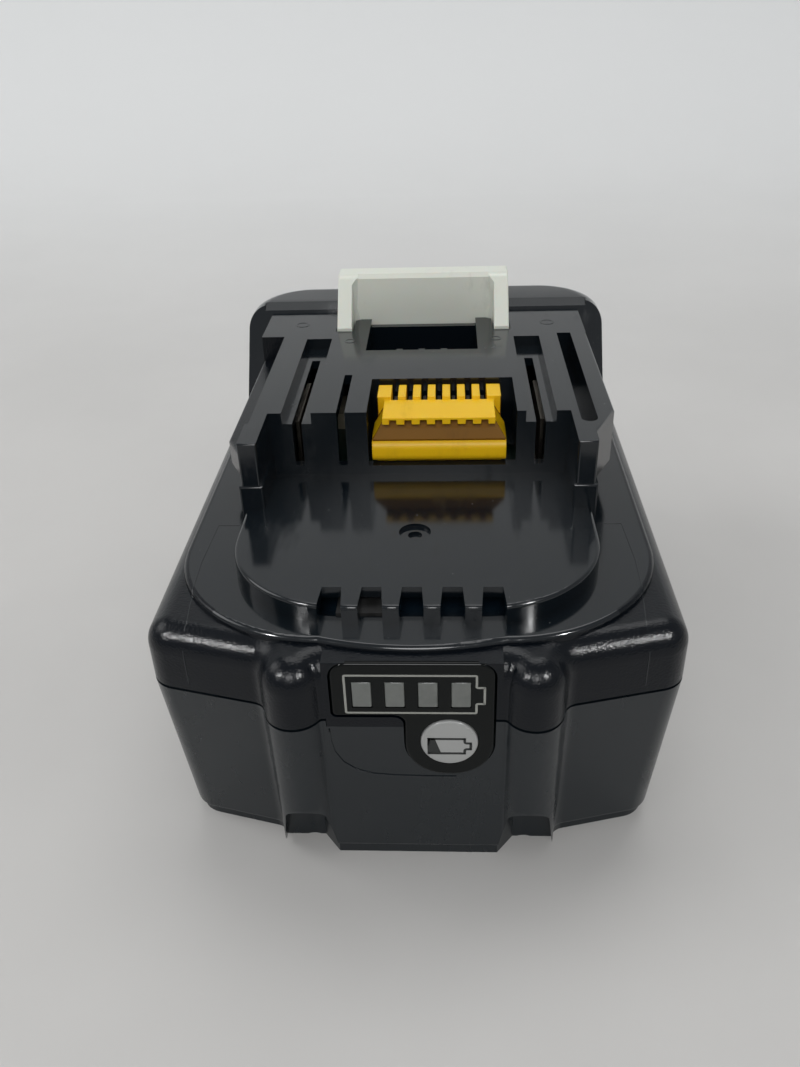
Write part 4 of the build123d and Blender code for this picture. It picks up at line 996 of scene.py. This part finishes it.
@dataclass
class LatchCarriage:
    """Pale hook and the ribbed thumb button that moves with it."""

    hook_edge: float = 0.22
    thumb_edge: float = 0.25
    travel: float = 5.5

    def build(self) -> None:
        """Builds both pieces."""
        bm = merged_copy("latch")
        soften(bm, self.hook_edge, segments=3)
        add_piece("latch_hook", bm, LATCH_RESIN, Body.LATCH, ["latch"])
        bm = merged_copy("release_button")
        soften(bm, self.thumb_edge, segments=3)
        add_piece("thumb_button", bm, THUMB_PLASTIC, Body.LATCH, ["release_button"])
        for side in ("left", "right"):
            self.coil(side)

    def coil(self, side: str) -> None:
        """Builds a coil spring from its CAD node, with a mesh of its own.

        Args:
            side: Which of the two springs.
        """
        node = f"latch_spring_{side}"
        bm = merged_copy(node)
        piece = add_piece(f"latch_coil_{side}", bm, SPRING_WIRE, stands_for=[node])
        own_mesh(piece)


@dataclass
class SignalConnector:
    """Yellow comb-topped connector."""

    edge: float = 0.14
    neck_low: float = 50.0
    neck_high: float = 53.5
    neck_front: float = -8.4
    front_facing: float = -0.2

    def build(self) -> None:
        """Builds the connector; its set-back neck, under the overhanging bar, gets a darker brown finish of
        painted shade.
        """
        bm = merged_copy("signal_connector")
        soften(bm, self.edge)
        for face in bm.faces:
            spot = face.calc_center_median() / MM
            inside = self.neck_low < spot.z < self.neck_high and spot.y > self.neck_front
            # Front-facing faces of the neck under the bar get the painted-shade finish.
            face.material_index = int(inside and face.normal.y < self.front_facing)
        piece = add_piece("comb_connector", bm, CONNECTOR_RESIN,
                          stands_for=["signal_connector"])
        piece.data.materials.append(CONNECTOR_NECK_SHADE.material())


@dataclass
class Inside:
    """Cells, holders, straps and boards, which the case hides."""

    cell_count: int = 10

    def build(self) -> None:
        """Dresses the inner nodes."""
        for finish, nodes in (
            (SLEEVE, [f"cell_{n:02d}" for n in range(1, self.cell_count + 1)]),
            (PAPER, ["cell_insulators", "insulation_sheet_left", "insulation_sheet_right"]),
            (HOLDER_RESIN, ["cell_holder_left", "cell_holder_right"]),
            (NICKEL, ["cell_straps_left", "cell_straps_right", "negative_lead", "positive_lead"]),
            (BOARD_MASK, ["control_board", "gauge_board"]),
            (CONTACT, ["positive_terminal", "negative_terminal", "connector_pins"]),
            (BLACK_STEEL, ["case_screws", "board_screws"]),
            (LAMP_RESIN, ["gauge_leds"]),
            (SWITCH_METAL, ["tact_switch"]),
            (FUSE_BODY, ["fuse"]),
            (BEAD_RESIN, ["thermistor"]),
            (RIBBON, ["gauge_ribbon"]),
            (FOAM, ["foam_pads"]),
        ):
            dress_nodes(finish, nodes)


@dataclass(frozen=True)
class Lamp:
    """Round area lamp, in metres; one that is only mirrored makes highlights and lights nothing else."""

    name: str
    at: Axes
    size: float
    watts: float
    only_mirrored: bool = False

    def hang(self, target: Vector) -> None:
        """Adds the lamp to the scene, aimed at a target."""
        light = bpy.data.lights.new(self.name, "AREA")
        light.shape = "DISK"
        light.size = self.size
        light.energy = self.watts
        holder = bpy.data.objects.new(self.name, light)
        holder.visible_diffuse = not self.only_mirrored
        bpy.context.scene.collection.objects.link(holder)
        turn = (target - Vector(self.at)).to_track_quat("-Z", "Y")
        holder.matrix_world = Matrix.Translation(self.at) @ turn.to_matrix().to_4x4()


LAMPS = (
    Lamp("ceiling_lamp_left", (-0.85, -0.8, 0.95), 0.085, 11.0, only_mirrored=True),
    Lamp("ceiling_lamp_right", (0.85, -0.8, 0.95), 0.085, 11.0, only_mirrored=True),
    Lamp("ceiling_panel", (0.1, 0.75, 1.3), 1.3, 10.5),
    Lamp("window_light", (-1.0, 0.1, 0.8), 0.7, 3.0),
    Lamp("front_light", (0.0, -0.95, 0.8), 0.5, 5.0),
)


@dataclass
class Studio:
    """Pale table and backdrop, the lamps and the camera."""

    camera_at: Axes = (4.9822, -151.2304, 120.4772)
    pitch: float = 0.5559312645
    yaw: float = -0.0611040957
    roll: float = -0.0368629767
    focal_px: float = 930.0
    frame_px: float = 1067.0
    sensor: float = 36.0
    floor_front: float = -1500.0
    floor_back: float = 420.0
    backdrop_radius: float = 260.0
    backdrop_height: float = 1500.0
    half_width: float = 1800.0
    lean: float = math.radians(82)
    bend_steps: int = 24
    smooth_degrees: float = 60.0
    world_colour: Colour = (0.97, 0.985, 1.0)
    world_strength: float = 0.38
    aim_height: float = 30.0
    clip_start: float = 5.0

    def build(self) -> None:
        """Builds the studio."""
        self.floor()
        self.world()
        self.lamps()
        self.camera()

    def floor(self) -> None:
        """Spins and extrudes a table top that rises into a backdrop."""
        bm = bmesh.new()
        x = -self.half_width * MM
        front = bm.verts.new((x, self.floor_front * MM, 0.0))
        back = bm.verts.new((x, self.floor_back * MM, 0.0))
        bm.edges.new((front, back))
        centre = Vector((x, self.floor_back * MM, self.backdrop_radius * MM))
        last = bmesh.ops.spin(bm, geom=[back], cent=centre, axis=(1, 0, 0), angle=self.lean,
                              steps=self.bend_steps)["geom_last"][0]
        rise = bmesh.ops.extrude_vert_indiv(bm, verts=[last])["verts"][0]
        slope = Vector((0, math.cos(self.lean), math.sin(self.lean)))
        bmesh.ops.translate(bm, verts=[rise], vec=slope * self.backdrop_height * MM)
        made = bmesh.ops.extrude_edge_only(bm, edges=bm.edges[:])
        verts = [g for g in made["geom"] if isinstance(g, bmesh.types.BMVert)]
        bmesh.ops.translate(bm, verts=verts, vec=(2 * self.half_width * MM, 0, 0))
        bmesh.ops.recalc_face_normals(bm, faces=bm.faces[:])
        floor = lay_mesh("table_top", bm, self.smooth_degrees)
        floor.data.materials.append(FLOOR.material())

    def world(self) -> None:
        """Lights the scene evenly from all round."""
        world = bpy.data.worlds.new("soft_room")
        bpy.context.scene.world = world
        world.use_nodes = True
        background = world.node_tree.nodes["Background"].inputs
        background["Color"].default_value = (*self.world_colour, 1.0)
        background["Strength"].default_value = self.world_strength

    def lamps(self) -> None:
        """Hangs the lamps, all aimed at the middle of the part."""
        for lamp in LAMPS:
            lamp.hang(UP * self.aim_height * MM)

    def camera(self) -> None:
        """Stands the camera where the photograph was taken."""
        flat = math.cos(self.pitch)
        forward = Vector((math.sin(self.yaw) * flat, math.cos(self.yaw) * flat, -math.sin(self.pitch)))
        right = Vector((math.cos(self.yaw), -math.sin(self.yaw), 0.0))
        up = right.cross(forward)
        across = math.cos(self.roll) * right + math.sin(self.roll) * up
        above = math.cos(self.roll) * up - math.sin(self.roll) * right
        turn = Matrix((across, above, -forward)).transposed().to_4x4()
        lens = bpy.data.cameras.new("photo_camera")
        lens.sensor_width = self.sensor
        lens.lens = self.focal_px / self.frame_px * self.sensor
        lens.clip_start = self.clip_start * MM
        camera = bpy.data.objects.new("photo_camera", lens)
        bpy.context.scene.collection.objects.link(camera)
        camera.matrix_world = Matrix.Translation(Vector(self.camera_at) * MM) @ turn
        bpy.context.scene.camera = camera


def main() -> None:
    """Builds every sub-assembly in order and logs its pieces."""
    logging.basicConfig(level=logging.INFO, format="%(message)s")
    bpy.context.scene.view_settings.view_transform = "Standard"
    for assembly in (Studio(), Shells(), GaugeFace(), LatchCarriage(), SignalConnector(), Inside()):
        log.info("Building %s", type(assembly).__name__)
        assembly.build()


if __name__ == "__main__":
    main()
